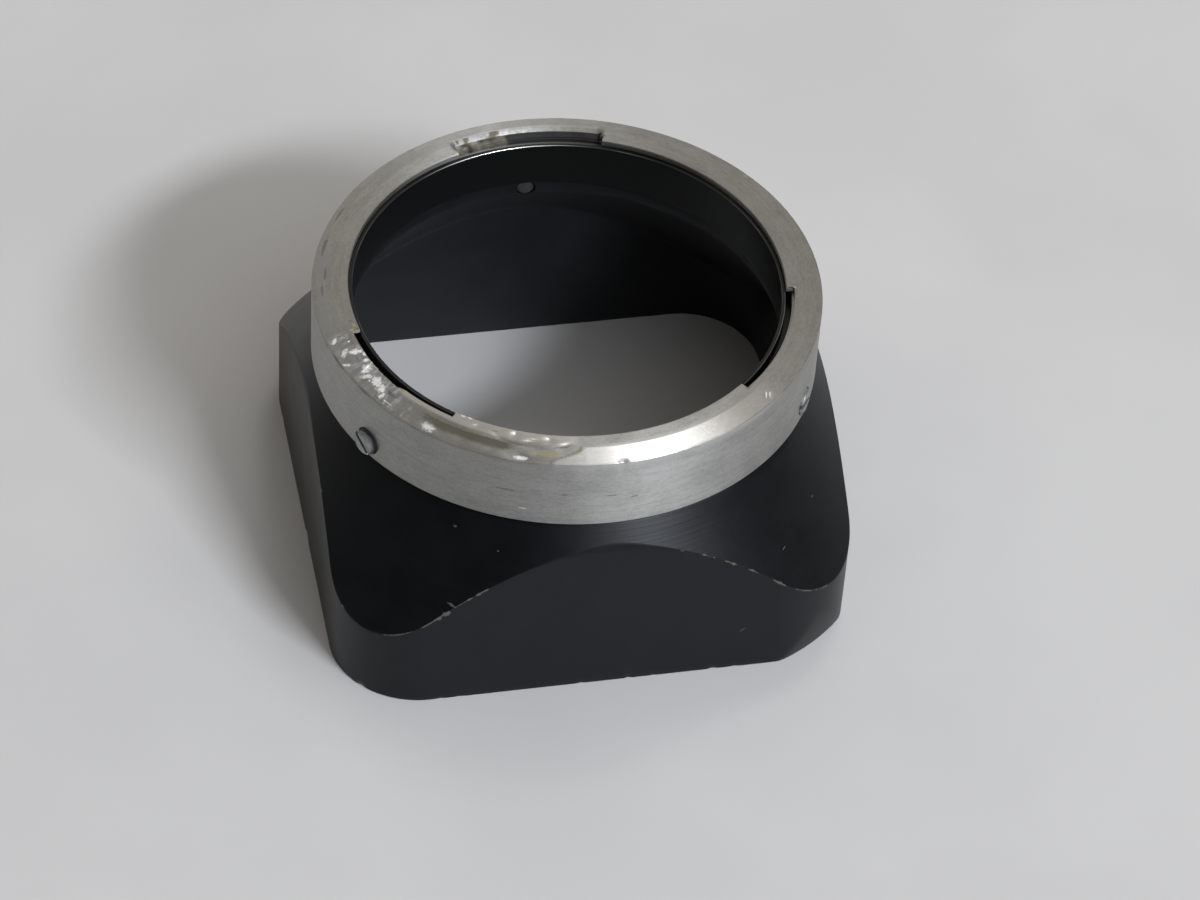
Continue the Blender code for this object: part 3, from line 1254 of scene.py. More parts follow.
    def finishes(self) -> list[BlackAnodising]:
        """The shell's finishes.

        Returns:
            One for each of its material slots, in order.
        """
        chips, specks = self.chips(), self.specks()
        milled = BlackAnodising(
            "milled_black",
            dark=(0.0026, 0.0029, 0.0036, 1.0),
            light=(0.0052, 0.0057, 0.0069, 1.0),
            roughness=0.42,
            lines=0.12,
            gloss=0.29,
            chips=chips,
            specks=specks,
        )
        turned = BlackAnodising(
            "turned_black",
            dark=(0.0010, 0.0012, 0.0016, 1.0),
            light=(0.0026, 0.0030, 0.0038, 1.0),
            roughness=0.31,
            lines=1.0,
            gloss=0.31,
            chips=chips,
            specks=specks,
        )
        inside = BlackAnodising(
            "inside_black",
            dark=(0.0042, 0.0047, 0.0058, 1.0),
            light=(0.0080, 0.0088, 0.0108, 1.0),
            roughness=0.46,
            lines=0.3,
            gloss=0.40,
        )
        return [milled, turned, inside]

    def dress(self, shell: Piece) -> None:
        """Paint where the edges are worn.

        Args:
            shell: The shell.
        """
        angle, radius, height = cylinder_places(shell.data)
        outer = self.outline(angle, 0.0)
        off_arch = np.hypot(radius - outer, height - self.arch(angle))
        worn = self.edge_wear(angle) * np.exp(-((off_arch / 0.11) ** 2))
        rim = 0.3 * np.exp(-((np.hypot(radius - outer, height) / 0.12) ** 2))
        knock = 0.5 * self.knocked_rim.at(angle) * np.exp(-((height / 0.3) ** 2))
        paint(shell.data, Wear.EDGE, np.maximum.reduce((worn, rim, knock)))


@dataclass
class BayonetRing(Assembly):
    """The bare ring with three bayonet lugs, three screw holes and a hard life."""

    NODES: ClassVar[tuple[str, ...]] = ("bayonet_ring",)
    SLOT: ClassVar[str] = "ring"

    bevel_width: float = 1.7
    bevel_drop: float = 0.35
    foot_chamfer: float = 0.15
    notch_radius: float = 18.68
    screw_hole: float = 1.2
    hole_mouth: float = 0.05
    countersink: tuple[float, float] = (-0.35, 0.5)
    lead_in: float = 0.34
    lead_in_radius: float = 19.75
    shelf_radius: float = 19.25
    lip_radius: float = 19.2
    whole_radius: float = 20.85
    tear_radius: float = 18.9
    slant_radius: float = 19.4
    thinned_radius: float = 19.5
    soiled_radius: float = 19.3
    rubbed_radius: float = 19.9
    torn_bevel: Sector = Sector(191.0, 216.0, 3.0)
    torn_tail: Sector = Sector(214.0, 222.0, 3.0)
    torn_lip: Sector = Sector(196.0, 214.5, 2.0)
    torn_wall: Sector = Sector(191.5, 213.5, 1.5)
    rubbed_edge: Sector = Sector(140.0, 248.0, 30.0)
    battered_from: float = 215.0
    battered_to: float = 262.8
    battered_slant: float = 6.8
    black_bevel: Sector = Sector(222.0, 248.0, 8.0)
    bright_lip: Sector = Sector(214.0, 261.0, 4.0)
    dull_lip: Sector = Sector(263.0, 300.0, 12.0)
    # Where the front bevel's painted highlight pales in, turns white and fades out, in degrees
    pale_from: float = 263.2
    white_from: float = 265.0
    white_to: float = 318.0
    edge_height: float = 24.5
    hollow: Sector = Sector(71.0, 109.6, 1.2)
    hollow_marks_and_shade: Sector = Sector(70.5, 110.0, 1.5)
    hollow_left: Sector = Sector(95.0, 112.0, 6.0)

    @property
    def bevel_start(self) -> float:
        """Where the bevel starts, from the axis."""
        return RING_RADIUS - self.bevel_width

    def corners(self) -> list[Corner]:
        """The profile through a lug.

        Returns:
            Its corners, from the bevel down the outside and back up the inside.
        """
        return [
            Corner(self.bevel_start, RING_TOP, 0.12, 0.14, 4),
            Corner(RING_RADIUS, RING_TOP - self.bevel_drop, 0.05, 0.9, 3),
            Corner(RING_RADIUS, RING_FOOT + self.foot_chamfer, 0.04, 0.3, 2),
            Corner(RING_RADIUS - self.foot_chamfer, RING_FOOT, 0.04, 0.7, 2),
            Corner(SLEEVE_RADIUS, RING_FOOT, 0.03, 3.0, 2),
            Corner(SLEEVE_RADIUS, RING_STEP, 0.03, 0.6, 2),
            Corner(BORE_RADIUS, RING_STEP, 0.03, 0.3, 2),
            Corner(BORE_RADIUS, LUG_UNDER, 0.03, 0.25, 2),
            Corner(LUG_RADIUS, LUG_UNDER, 0.05, 0.12, 3),
            Corner(LUG_RADIUS, RING_TOP, 0.14, 0.13, 5),
        ]

    def column_angles(self) -> tuple[Array, Array]:
        """Angles of the columns, closer where the ring is torn, with a close pair at each lug's ends.

        Returns:
            The angles in degrees, and which columns lie in a notch.
        """
        angle = np.r_[0.0:180.0:0.5, 180.0:268.0:0.2, 268.0:360.0:0.5]
        notch = np.zeros(angle.shape, bool)
        for middle in NOTCH_MIDDLES:
            away = turned_from(angle, middle)
            inside = np.abs(away) < NOTCH_HALF - 0.05
            notch |= inside
            first = np.argmin(np.where(inside, away, 99.0))
            last = np.argmax(np.where(inside, away, -99.0))
            for end in (first, last):
                angle[end] = middle + np.sign(away[end]) * (NOTCH_HALF - 0.07)
        return angle, notch

    def torn(self, angle: Array, radii: Array) -> Array:
        """How torn the top is: the bevel over a longer stretch than the inner lip.

        Args:
            angle: Angles in degrees.
            radii: Distances from the axis.

        Returns:
            0 where it is whole, 1 where it is torn.
        """
        bevel = np.maximum(self.torn_bevel.at(angle), 0.5 * self.torn_tail.at(angle))
        share = rise(radii, self.tear_radius, 0.4)
        torn = bevel * share + self.torn_lip.at(angle) * (1.0 - share)
        return torn * fall(radii, self.whole_radius, 0.25)

    def ragged_end(self, radii: Array) -> Array:
        """The angle where the battered stretch ends, which runs aslant across the bevel."""
        return self.battered_to - self.battered_slant * rise(radii, self.slant_radius, 1.5)

    def battered(self, angle: Array, radii: Array) -> Array:
        """Where the bevel has lost its crisp cut.

        Args:
            angle: Angles in degrees.
            radii: Distances from the axis.

        Returns:
            0 where it is whole, 1 where it is battered.
        """
        return rise(angle, self.battered_from, 2.0) * fall(angle, self.ragged_end(radii), 0.7)

    def broken(self, angle: Array, radii: Array) -> tuple[Array, Array]:
        """Tilts and brightnesses of the chips that the torn top breaks into."""
        return Chips(24, 0.5).at(np.radians(angle) * RING_RADIUS, radii * 0.55)

    def batter(self, angle: Array, radii: Array, heights: Array) -> tuple[Array, Array]:
        """Tear the top at the left, batter the bevel at the front and hollow the back notch.

        Args:
            angle: Angles in degrees by column and row.
            radii: Radii by column and row.
            heights: Heights by column and row.

        Returns:
            The new radii and heights.
        """
        top = rise(heights, RING_TOP - 0.7, 0.3)
        outside_bore = radii > BORE_RADIUS
        lump = Grain(21, 170).at(angle, radii / 0.7)
        chip = Grain(22, 420).at(angle, radii / 0.3)
        wave = Grain(23, 80).at(angle, radii / 1.3)
        tilt, _ = self.broken(angle, radii)
        drop = self.torn(angle, radii) * (0.03 + 0.17 * tilt)
        beaten = self.battered(angle, radii) * rise(radii, self.bevel_start - 0.1, 0.4)
        fading = 0.35 + 0.65 * fall(angle, self.ragged_end(radii), 7.0)
        drop = drop + beaten * (0.03 + 0.13 * wave + 0.02 * lump) * fading
        outwards = np.clip((radii - self.rubbed_radius) / 1.1, 0.0, 1.0)
        drop = top * (drop + 0.16 * (self.rubbed_edge.at(angle) * outwards**2))
        upper = np.clip((heights - COLLAR_TOP) / (RING_TOP - COLLAR_TOP), 0.0, 1.0)
        into = np.clip((self.lead_in_radius - radii) / 0.5, 0.0, 1.0)
        shelf = np.clip((self.shelf_radius - radii) / (self.shelf_radius - self.notch_radius), 0.0, 1.0)
        sunk = self.lead_in * into + 0.10 * shelf + into * (0.04 * lump + 0.02 * chip)
        drop = drop + self.hollow.at(angle) * upper * outside_bore * sunk
        thinned = fall(radii, self.thinned_radius, 0.9) * outside_bore
        wall = top * self.torn_wall.at(angle) * thinned
        return radii + wall * (0.02 + 0.30 * lump), heights - drop

    def dents(self) -> list[Mark]:
        """Shiny dents and nicks.

        Returns:
            The marks.
        """
        bevel = RING_TOP - 0.2
        return [
            Mark(226.5, 20.35, bevel, 0.8, 0.5, 0.08, 20.0),
            Mark(229.0, 20.4, bevel, 0.5, 0.3, 0.05, -30.0),
            Mark(243.5, 20.0, bevel, 0.8, 0.25, 0.05, 25.0),
            Mark(249.1, 20.6, bevel, 0.6, 0.35, 0.09, -10.0),
            Mark(271.4, 20.98, 24.6, 0.32, 0.22, 0.10, 30.0),
            Mark(237.0, 18.7, RING_TOP, 0.5, 0.25, 0.05, 15.0),
            Mark(242.5, 19.1, RING_TOP, 0.6, 0.20, 0.05, -20.0),
            Mark(246.5, 18.6, RING_TOP, 0.35, 0.3, 0.06),
            Mark(251.0, 19.0, RING_TOP, 0.7, 0.18, 0.05, 12.0),
            Mark(255.0, 18.7, RING_TOP, 0.4, 0.25, 0.05, -15.0),
            Mark(258.5, 19.2, RING_TOP, 0.6, 0.15, 0.04, 20.0),
            Mark(311.2, 20.3, bevel, 0.4, 0.07, 0.03, 42.0),
            Mark(312.0, 20.45, bevel, 0.4, 0.07, 0.03, 42.0),
            Mark(118.0, 20.6, bevel, 0.6, 0.3, 0.06, 15.0),
            Mark(32.0, 20.7, bevel, 0.4, 0.25, 0.06, -20.0),
        ]

    def haze(self) -> tuple[Mark, ...]:
        """Soft pale places on the bevel.

        Returns:
            The marks.
        """
        return (
            Mark(227.6, 20.35, 24.8, 1.1, 0.6),
            Mark(183.0, 20.2, 24.8, 3.2, 0.7),
            Mark(165.0, 20.3, 24.8, 3.0, 0.5),
        )

    def scuffs(self) -> tuple[Stain, ...]:
        """Dark olive and brown scuffs on the bevel, the lip and the side.

        Returns:
            The scuffs.
        """
        bevel = ((147.4, 4.25, 1.1, 0.18), (159.2, 4.32, 1.2, 0.22), (169.1, 4.96, 0.9, 0.14))
        bevel += ((174.5, 4.66, 0.8, 0.14), (199.3, 5.25, 0.35, 0.07), (198.0, 3.55, 1.2, 0.16))
        bevel += ((208.4, 3.57, 0.8, 0.20), (212.2, 3.92, 0.6, 0.12), (216.6, 3.67, 0.7, 0.15))
        bevel += ((213.8, 5.13, 0.8, 0.22), (244.4, 4.8, 1.1, 0.30), (186.9, 6.47, 0.22, 0.12))
        bevel += ((233.0, 5.35, 1.5, 0.20, 5.0), (239.5, 5.3, 1.6, 0.22, -4.0))
        bevel += ((247.0, 5.45, 1.1, 0.16), (258.0, 5.6, 0.8, 0.10, 10.0))
        bevel += ((250.5, 6.1, 0.5, 0.09), (241.5, 6.3, 0.5, 0.08))
        side = ((246.0, 0.18, 0.9, 0.09), (258.9, 0.29, 0.35, 0.07), (188.2, 0.79, 0.4, 0.05))
        side += ((269.5, 0.1, 0.5, 0.08), (274.5, -0.3, 0.35, 0.08), (135.0, 1.0, 1.2, 0.06))
        side += ((60.0, -0.5, 1.0, 0.06), (5.0, 0.6, 1.1, 0.05), (17.6, 4.73, 0.5, 0.05))
        back = ((70.3, 6.3, 0.3, 0.5), (92.0, 6.0, 0.6, 0.12), (84.0, 5.85, 1.0, 0.12))
        return tuple(Stain(*mark) for mark in bevel + side + back)

    def flecks(self) -> tuple[Stain, ...]:
        """Bright bare flecks.

        Returns:
            The flecks.
        """
        torn = ((197.0, 5.45, 0.34, 0.75, -20.0), (196.2, 4.5, 0.30, 0.55, 30.0))
        torn += ((199.5, 4.05, 0.18, 0.45, -35.0), (203.4, 5.35, 0.50, 0.60, 25.0))
        torn += ((205.4, 4.75, 0.25, 0.60, -30.0), (208.2, 5.15, 0.70, 0.50, -15.0))
        torn += ((210.6, 4.9, 0.40, 0.55, 20.0), (212.3, 4.3, 0.22, 0.5))
        torn += ((191.5, 4.3, 0.20, 0.45, 35.0), (201.0, 5.9, 0.22, 0.3))
        rest = ((226.5, 4.29, 0.75, 0.6), (249.1, 3.95, 0.6, 0.25), (214.5, 4.16, 0.5, 0.06))
        rest += ((232.1, 6.79, 0.3, 0.10), (233.9, 6.86, 0.3, 0.12), (250.2, -1.6, 0.4, 0.05))
        rest += ((311.2, 4.50, 0.45, 0.07, 42.0), (312.0, 4.30, 0.45, 0.07, 42.0))
        back = ((105.5, 5.75, 0.6, 0.14), (99.0, 5.85, 0.4, 0.10), (94.5, 5.9, 0.3, 0.10))
        back += ((81.0, 5.9, 0.5, 0.06),)
        return tuple(Stain(*mark) for mark in torn + rest + back)

    def yellow(self) -> tuple[Stain, ...]:
        """Ochre stains.

        Returns:
            The stains.
        """
        marks = ((254.6, 4.76, 1.2, 0.32), (262.4, 5.47, 0.4, 0.10), (188.5, 6.65, 0.25, 0.15))
        marks += ((190.2, 6.4, 0.2, 0.3), (101.5, 5.8, 0.4, 0.12), (215.5, 6.2, 0.4, 0.2))
        return tuple(Stain(*mark) for mark in marks)

    def build(self) -> Piece:
        """Turn the ring, cut its notches, batter it and drill the screw holes.

        Returns:
            The ring.
        """
        profile = rounded_profile(self.corners())
        angle, notch = self.column_angles()
        radii = np.tile(profile[:, 0], (len(angle), 1))
        heights = np.tile(profile[:, 1], (len(angle), 1))
        lug = np.flatnonzero((profile[:, 1] > LUG_UNDER - 0.035) & (profile[:, 0] < self.notch_radius))
        wall = np.linspace(LUG_UNDER - 0.05, RING_TOP - 0.03, len(lug) - 1)
        radii[np.ix_(notch, lug)] = np.r_[BORE_RADIUS, np.full(len(lug) - 1, self.notch_radius)]
        heights[np.ix_(notch, lug)] = np.r_[LUG_UNDER - 0.05, wall]
        spread = np.broadcast_to(angle[:, None], radii.shape)
        radii, heights = self.batter(spread, radii, heights)
        points = skin_points(angle, radii, heights)
        points = dented(points, self.dents(), spread, radii, heights)
        ring = skin("bayonet_ring_skin", points)
        finish = BareAluminium(self.scuffs(), self.flecks(), self.yellow())
        ring.data.materials.append(finish.material())
        hole = (self.screw_hole, self.screw_hole)
        inner, outer = (RING_RADIUS + reach for reach in self.countersink)
        widest = self.screw_hole + self.hole_mouth
        mouth = (widest + self.countersink[0], widest + self.countersink[1])
        cutters = []
        for place in SCREW_ANGLES:
            cutters.append(radial_drill(place, LUG_RADIUS, DRILL_END, hole))
            cutters.append(radial_drill(place, inner, outer, mouth))
        return cut_with(ring, cutters)

    def dress(self, ring: Piece) -> None:
        """Paint the torn places, the polished front of the bevel with its painted highlight, the grime,
        and the painted shade in the back notch's hollow.

        Args:
            ring: The ring.
        """
        angle, radius, height = cylinder_places(ring.data)
        top = rise(height, RING_TOP - 0.8, 0.3)
        lip = fall(radius, self.lip_radius, 0.2) * top
        in_hollow = self.hollow_marks_and_shade.at(angle) * fall(radius, self.lead_in_radius + 0.05, 0.1)
        in_hollow = in_hollow * (height > LUG_UNDER - 0.4) * (radius > BORE_RADIUS - 0.2)
        left = self.hollow_left.at(angle)
        marble = Grain(32, 300).at(angle, (height - radius) / 0.25)
        # Torn and dented metal
        specks = Grain(31, 500).at(angle, (radius + height) / 0.3)
        _, shine = self.broken(angle, radius)
        gouge = self.torn(angle, radius) * top * (0.25 + 0.5 * shine + 0.15 * specks)
        haze = 0.6 * strongest(self.haze(), angle, radius, height)
        marbled = 0.9 * in_hollow * left * rise(marble, 0.45, 0.2)
        paint(ring.data, Wear.GOUGE, np.maximum.reduce((gouge, haze, marbled)))
        # Polish on the lip, and on the front of the bevel a polish whose whiteness ramps up and fades
        # along the angle: partly real polish, partly a painted highlight
        crisp = rise(radius, self.bevel_start, 0.1) * rise(height, self.edge_height, 0.12)
        cream = 0.35 * rise(angle, self.ragged_end(radius), 0.5)
        white = 0.12 * rise(angle, self.pale_from, 0.4) + 0.38 * rise(angle, self.white_from, 10.0)
        front = crisp * (cream + white) * fall(angle, self.white_to, 14.0)
        paint(ring.data, Wear.EDGE, np.maximum(front, lip * self.bright_lip.at(angle)))
        # Grime under the lip and on the lip, and painted shade in the hollowed notch
        under_lip = rise(radius, self.soiled_radius, 0.25) * fall(radius, self.whole_radius, 1.0)
        soiled = 0.95 * self.battered(angle, radius) * under_lip * top * self.black_bevel.at(angle)
        soiled = np.maximum(soiled, 0.48 * lip * self.dull_lip.at(angle))
        # Painted shade in the back notch's hollow: the shelf and the bore wall under the lead-in are
        # painted dark to black, blotched on the left, and the lead-in face is painted a lighter shade
        sloping = rise(radius, self.shelf_radius - 0.03, 0.1)
        shaded = in_hollow * (1.0 - sloping) * (1.6 - 1.1 * left * marble)
        dark = in_hollow * sloping * (0.5 + 0.4 * left * fall(marble, 0.5, 0.2))
        paint(ring.data, Wear.GRIME, np.maximum.reduce((soiled, shaded, dark)))


class GeometryTree(NodeWriter):
    """A Geometry Nodes tree that is written in code and run once on one object."""

    KINDS: ClassVar[dict[type, str]] = {
        float: "NodeSocketFloat",
        int: "NodeSocketInt",
        Piece: "NodeSocketObject",
        bpy.types.Material: "NodeSocketMaterial",
    }

    def __init__(self, name: str, values: dict[str, Any]) -> None:
        """Start a tree with one named input for each value.

        Args:
            name: The tree's name.
            values: The inputs' values by name.
        """
        super().__init__(bpy.data.node_groups.new(name, "GeometryNodeTree"))
        self.tree.interface.new_socket("Geometry", in_out="OUTPUT", socket_type="NodeSocketGeometry")
        self.values = {}
        for label, value in values.items():
            kind = self.KINDS[type(value)]
            made = self.tree.interface.new_socket(label, in_out="INPUT", socket_type=kind)
            self.values[made.identifier] = value
        self.inputs = self.tree.nodes.new("NodeGroupInput").outputs
        self.result = self.tree.nodes.new("NodeGroupOutput").inputs["Geometry"]

    def vector(self, x: Feed = 0.0, y: Feed = 0.0, z: Feed = 0.0) -> Socket:
        """A vector from its three parts."""
        return self.node("ShaderNodeCombineXYZ", {0: x, 1: y, 2: z}).outputs[0]

    def held(self, label: str) -> Socket:
        """The shape of the object that is a named input."""
        return self.node("GeometryNodeObjectInfo", {"Object": self.inputs[label]}).outputs["Geometry"]

    def circle(self, label: str) -> Socket:
        """A circle round the axis, whose radius is a named input."""
        inputs = {"Resolution": self.inputs["Steps"], "Radius": self.inputs[label]}
        return self.node("GeometryNodeCurvePrimitiveCircle", inputs).outputs[0]

    def swept(self, path: Socket, profile: Socket) -> Socket:
        """Sweep a profile upright along a path.

        Args:
            path: The path.
            profile: The profile.

        Returns:
            The swept shape.
        """
        upright = self.node("GeometryNodeSetCurveNormal", {0: path}, mode="Z_UP").outputs[0]
        inputs = {"Curve": upright, "Profile Curve": profile}
        return self.node("GeometryNodeCurveToMesh", inputs).outputs[0]

    def end(self, geometry: Socket) -> None:
        """Realize the instances, set the material and close the tree.

        Args:
            geometry: What the tree has made.
        """
        real = self.node("GeometryNodeRealizeInstances", {0: geometry}).outputs[0]
        inputs = {"Geometry": real, "Material": self.inputs["Material"]}
        dressed = self.node("GeometryNodeSetMaterial", inputs).outputs[0]
        self.tree.links.new(dressed, self.result)

    def run(self, name: str) -> Piece:
        """Make a plain mesh object from the tree.

        Args:
            name: The object's name.

        Returns:
            The object, in the scene.
        """
        obj = bpy.data.objects.new(name, bpy.data.meshes.new(name))
        bpy.context.scene.collection.objects.link(obj)
        modifier = obj.modifiers.new(name, "NODES")
        modifier.node_group = self.tree
        for identifier, value in self.values.items():
            modifier[identifier] = value
        settle(obj)
        mesh = obj.data
        bpy.data.objects.remove(obj)
        made = shown(name, mesh)
        smooth(mesh)
        return made


@dataclass
class PressureRing(Assembly):
    """The thin sprung sleeve behind the lugs."""

    BODY: ClassVar[Body] = Body.PRESSURE_RING
    NODES: ClassVar[tuple[str, ...]] = ("pressure_ring",)
    SLOT: ClassVar[str] = "sleeve"

    flange_thickness: float = 0.4
    skirt_length: float = 2.6
    bright_back: Sector = Sector(82.0, 112.0, 25.0)
    steps: int = 360

    def corners(self) -> list[Corner]:
        """The sleeve's profile.

        Returns:
            Its corners, from the rim down the outside and back up the inside.
        """
        flange_top = FLANGE_FOOT + self.flange_thickness
        foot = FLANGE_FOOT - self.skirt_length
        return [
            Corner(COLLAR_RADIUS, COLLAR_TOP, 0.07, 0.3, 4),
            Corner(COLLAR_RADIUS, flange_top, 0.03, 0.3, 2),
            Corner(FLANGE_RADIUS, flange_top, 0.04, 0.3, 2),
            Corner(FLANGE_RADIUS, FLANGE_FOOT, 0.04, 0.3, 2),
            Corner(COLLAR_RADIUS, FLANGE_FOOT, 0.03, 0.5, 2),
            Corner(COLLAR_RADIUS, foot, 0.06, 0.2, 3),
            Corner(COLLAR_BORE, foot, 0.06, 0.25, 3),
            Corner(COLLAR_BORE, COLLAR_TOP, 0.08, 0.1, 4),
        ]

    def profile(self) -> Piece:
        """The profile as a loop of edges that the tree turns round the axis.

        Returns:
            The loop, with heights along -Y, which the sweep lays upwards.
        """
        points = rounded_profile(self.corners())
        spots = [(r * MM, -z * MM, 0.0) for r, z in points]
        edges = [(i, (i + 1) % len(spots)) for i in range(len(spots))]
        mesh = bpy.data.meshes.new("sleeve_profile")
        mesh.from_pydata(spots, edges, [])
        obj = bpy.data.objects.new("sleeve_profile", mesh)
        bpy.context.scene.collection.objects.link(obj)
        return obj

    def tree(self, profile: Piece) -> GeometryTree:
        """A tree that sweeps a profile round the axis.

        Args:
            profile: The profile.

        Returns:
            The tree.
        """
        values = {
            "Profile": profile,
            "Path Radius": COLLAR_BORE * MM,
            "Steps": self.steps,
            "Material": WornSleeve().material(),
        }
        tree = GeometryTree("turned_sleeve", values)
        shift = tree.vector(tree.math("MULTIPLY", tree.inputs["Path Radius"], -1.0))
        moved = {"Geometry": tree.held("Profile"), "Translation": shift}
        moved_profile = tree.node("GeometryNodeTransform", moved).outputs[0]
        outline = tree.node("GeometryNodeMeshToCurve", {0: moved_profile}).outputs[0]
        tree.end(tree.swept(tree.circle("Path Radius"), outline))
        return tree

    def build(self) -> Piece:
        """Turn the sleeve.

        Returns:
            The pressure ring.
        """
        profile = self.profile()
        sleeve = self.tree(profile).run("pressure_ring_skin")
        bpy.data.objects.remove(profile)
        return sleeve

    def dress(self, sleeve: Piece) -> None:
        """Paint the rim where the lens has rubbed it bright.

        Args:
            sleeve: The pressure ring.
        """
        angle, radius, height = cylinder_places(sleeve.data)
        inner = np.exp(-((np.hypot(radius - COLLAR_BORE, height - COLLAR_TOP) / 0.08) ** 2))
        outer = np.exp(-((np.hypot(radius - COLLAR_RADIUS, height - COLLAR_TOP) / 0.07) ** 2))
        bright = 0.45 + 0.55 * self.bright_back.at(angle)
        paint(sleeve.data, Wear.EDGE, np.maximum(inner * bright, outer * 0.5))


@dataclass
class WaveSpring(Assembly):
    """The flat steel strip ring, bent into waves under the pressure ring's flange."""

    NODES: ClassVar[tuple[str, ...]] = ("wave_spring",)
    SLOT: ClassVar[str] = "spring"

    strip: float = 0.25
    height: float = 1.3
    waves: int = 3
    pressed_share: float = 0.31
    steps: int = 360

    def tree(self) -> GeometryTree:
        """A tree that bends a flat strip into a ring of waves.

        Returns:
            The tree.
        """
        steel = Steel("spring_steel", (0.30, 0.31, 0.33, 1.0), (0.48, 0.49, 0.51, 1.0), 0.34)
        values = {
            "Middle Radius": (GUIDE_RADIUS + FLANGE_RADIUS) / 2 * MM,
            "Strip Width": (FLANGE_RADIUS - GUIDE_RADIUS) * MM,
            "Strip Thickness": self.strip * MM,
            "Foot Height": SPRING_FOOT * MM,
            "Lift": (self.height - self.strip) * MM,
            "Waves": self.waves,
            "First Low": math.radians(NOTCH_MIDDLES[0]),
            "Steps": self.steps,
            "Material": steel.material(),
        }
        tree = GeometryTree("wave_spring", values)
        told = tree.inputs
        spot = tree.node("GeometryNodeInputPosition").outputs[0]
        x, y, _ = tree.node("ShaderNodeSeparateXYZ", {0: spot}).outputs
        turn = tree.math("SUBTRACT", tree.math("ARCTAN2", y, x), told["First Low"])
        wave = tree.math("COSINE", tree.math("MULTIPLY", turn, told["Waves"]))
        share = tree.math("MULTIPLY", tree.math("SUBTRACT", 1.0, wave), 0.5)
        rise_up = tree.math("ADD", tree.math("MULTIPLY", share, told["Lift"]), told["Foot Height"])
        middle = tree.math("ADD", rise_up, tree.math("MULTIPLY", told["Strip Thickness"], 0.5))
        lifted = {"Geometry": tree.circle("Middle Radius"), "Offset": tree.vector(z=middle)}
        path = tree.node("GeometryNodeSetPosition", lifted).outputs[0]
        sides = {"Width": told["Strip Width"], "Height": told["Strip Thickness"]}
        strip = tree.node("GeometryNodeCurvePrimitiveQuadrilateral", sides).outputs[0]
        tree.end(tree.swept(path, strip))
        return tree

    def build(self) -> Piece:
        """Bend the spring."""
        return self.tree().run("wave_spring_strip")

    def dress(self, spring: Piece) -> None:
        """Give the spring a mesh of its own.

        Args:
            spring: The spring.
        """
        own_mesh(spring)


@dataclass
class SetScrews(Assembly):
    """Three headless slotted screws that hold the ring on the neck."""

    NODES: ClassVar[tuple[str, ...]] = ("set_screw_1", "set_screw_2", "set_screw_3")
    SLOT: ClassVar[str] = "screw"

    radius: float = 1.15
    root: float = 0.96
    pitch: float = 0.4
    chamfer: float = 0.15
    point_radius: float = 0.75
    point_end: float = 18.1
    outer_end: float = 21.2
    slot_width: float = 0.4
    slot_depth: float = 0.6
    point_depth: float = 1.5
    point_darkening: float = 0.85
    backed_off: tuple[float, float, float] = (0.1, 0.4, 0.0)
    slot_turn: tuple[float, float, float] = (20.0, -40.0, -10.0)
    columns: int = 64

    def pattern(self) -> Piece:
        """One threaded and slotted screw with its point on the origin and its axis up Z.

        Returns:
            The pattern, which the tree repeats.
        """
        length = self.outer_end - self.point_end
        point_length = SLEEVE_RADIUS - self.point_end
        turn = np.arange(self.columns) * 360.0 / self.columns
        thread = np.arange(point_length, length - 0.01, 0.03)
        heights = np.r_[0.0, 0.04, point_length - 0.05, thread, length]
        phase = heights[None, :] / self.pitch - turn[:, None] / 360.0
        crest = 1.0 - np.abs((phase % 1.0) * 2.0 - 1.0)
        threaded = self.root + (self.radius - self.root) * np.clip(crest * 1.35 - 0.1, 0.0, 1.0)
        limit = np.minimum(self.radius, self.radius - self.chamfer * 1.6 + (length - heights) * 1.2)
        start = self.point_radius + (heights - point_length) * 1.2
        start = np.clip(start, self.point_radius, self.radius)
        plain = np.where(heights < point_length - 0.01, self.point_radius, self.radius)
        radii = np.minimum(np.minimum(threaded, limit), np.minimum(start, plain))
        radii[:, 0] = self.point_radius - 0.06
        radii[:, 1:3] = self.point_radius
        levels = np.broadcast_to(heights, radii.shape)
        screw = skin("set_screw_pattern", skin_points(turn, radii, levels), capped=True)
        slot_mesh = bpy.data.meshes.new("slot")
        edit = bmesh.new()
        bmesh.ops.create_cube(edit, size=1.0)
        size = (self.slot_width * MM, 4 * self.radius * MM, 2 * self.slot_depth * MM)
        bmesh.ops.scale(edit, vec=size, verts=edit.verts)
        bmesh.ops.translate(edit, vec=(0.0, 0.0, length * MM), verts=edit.verts)
        edit.to_mesh(slot_mesh)
        edit.free()
        return cut_with(screw, [shown("slot", slot_mesh)])

    def tree(self, pattern: Piece) -> GeometryTree:
        """A tree that puts a screw at each notch, backed off and turned.

        Args:
            pattern: The screw to repeat.

        Returns:
            The tree.
        """
        steel = Steel("screw_steel", (0.36, 0.365, 0.37, 1.0), (0.46, 0.465, 0.47, 1.0), 0.42)
        values = {
            "Pattern": pattern,
            "Count": len(SCREW_ANGLES),
            "Point Radius": self.point_end * MM,
            "Height": SCREW_HEIGHT * MM,
            "Material": steel.material(),
        }
        settings = zip(SCREW_ANGLES, self.backed_off, self.slot_turn)
        for number, (angle, back, turn) in enumerate(settings, 1):
            values[f"Angle {number}"] = math.radians(angle)
            values[f"Backed Off {number}"] = back * MM
            values[f"Slot Turn {number}"] = math.radians(turn)
        tree = GeometryTree("set_screws", values)
        told = tree.inputs
        index = tree.node("GeometryNodeInputIndex").outputs[0]

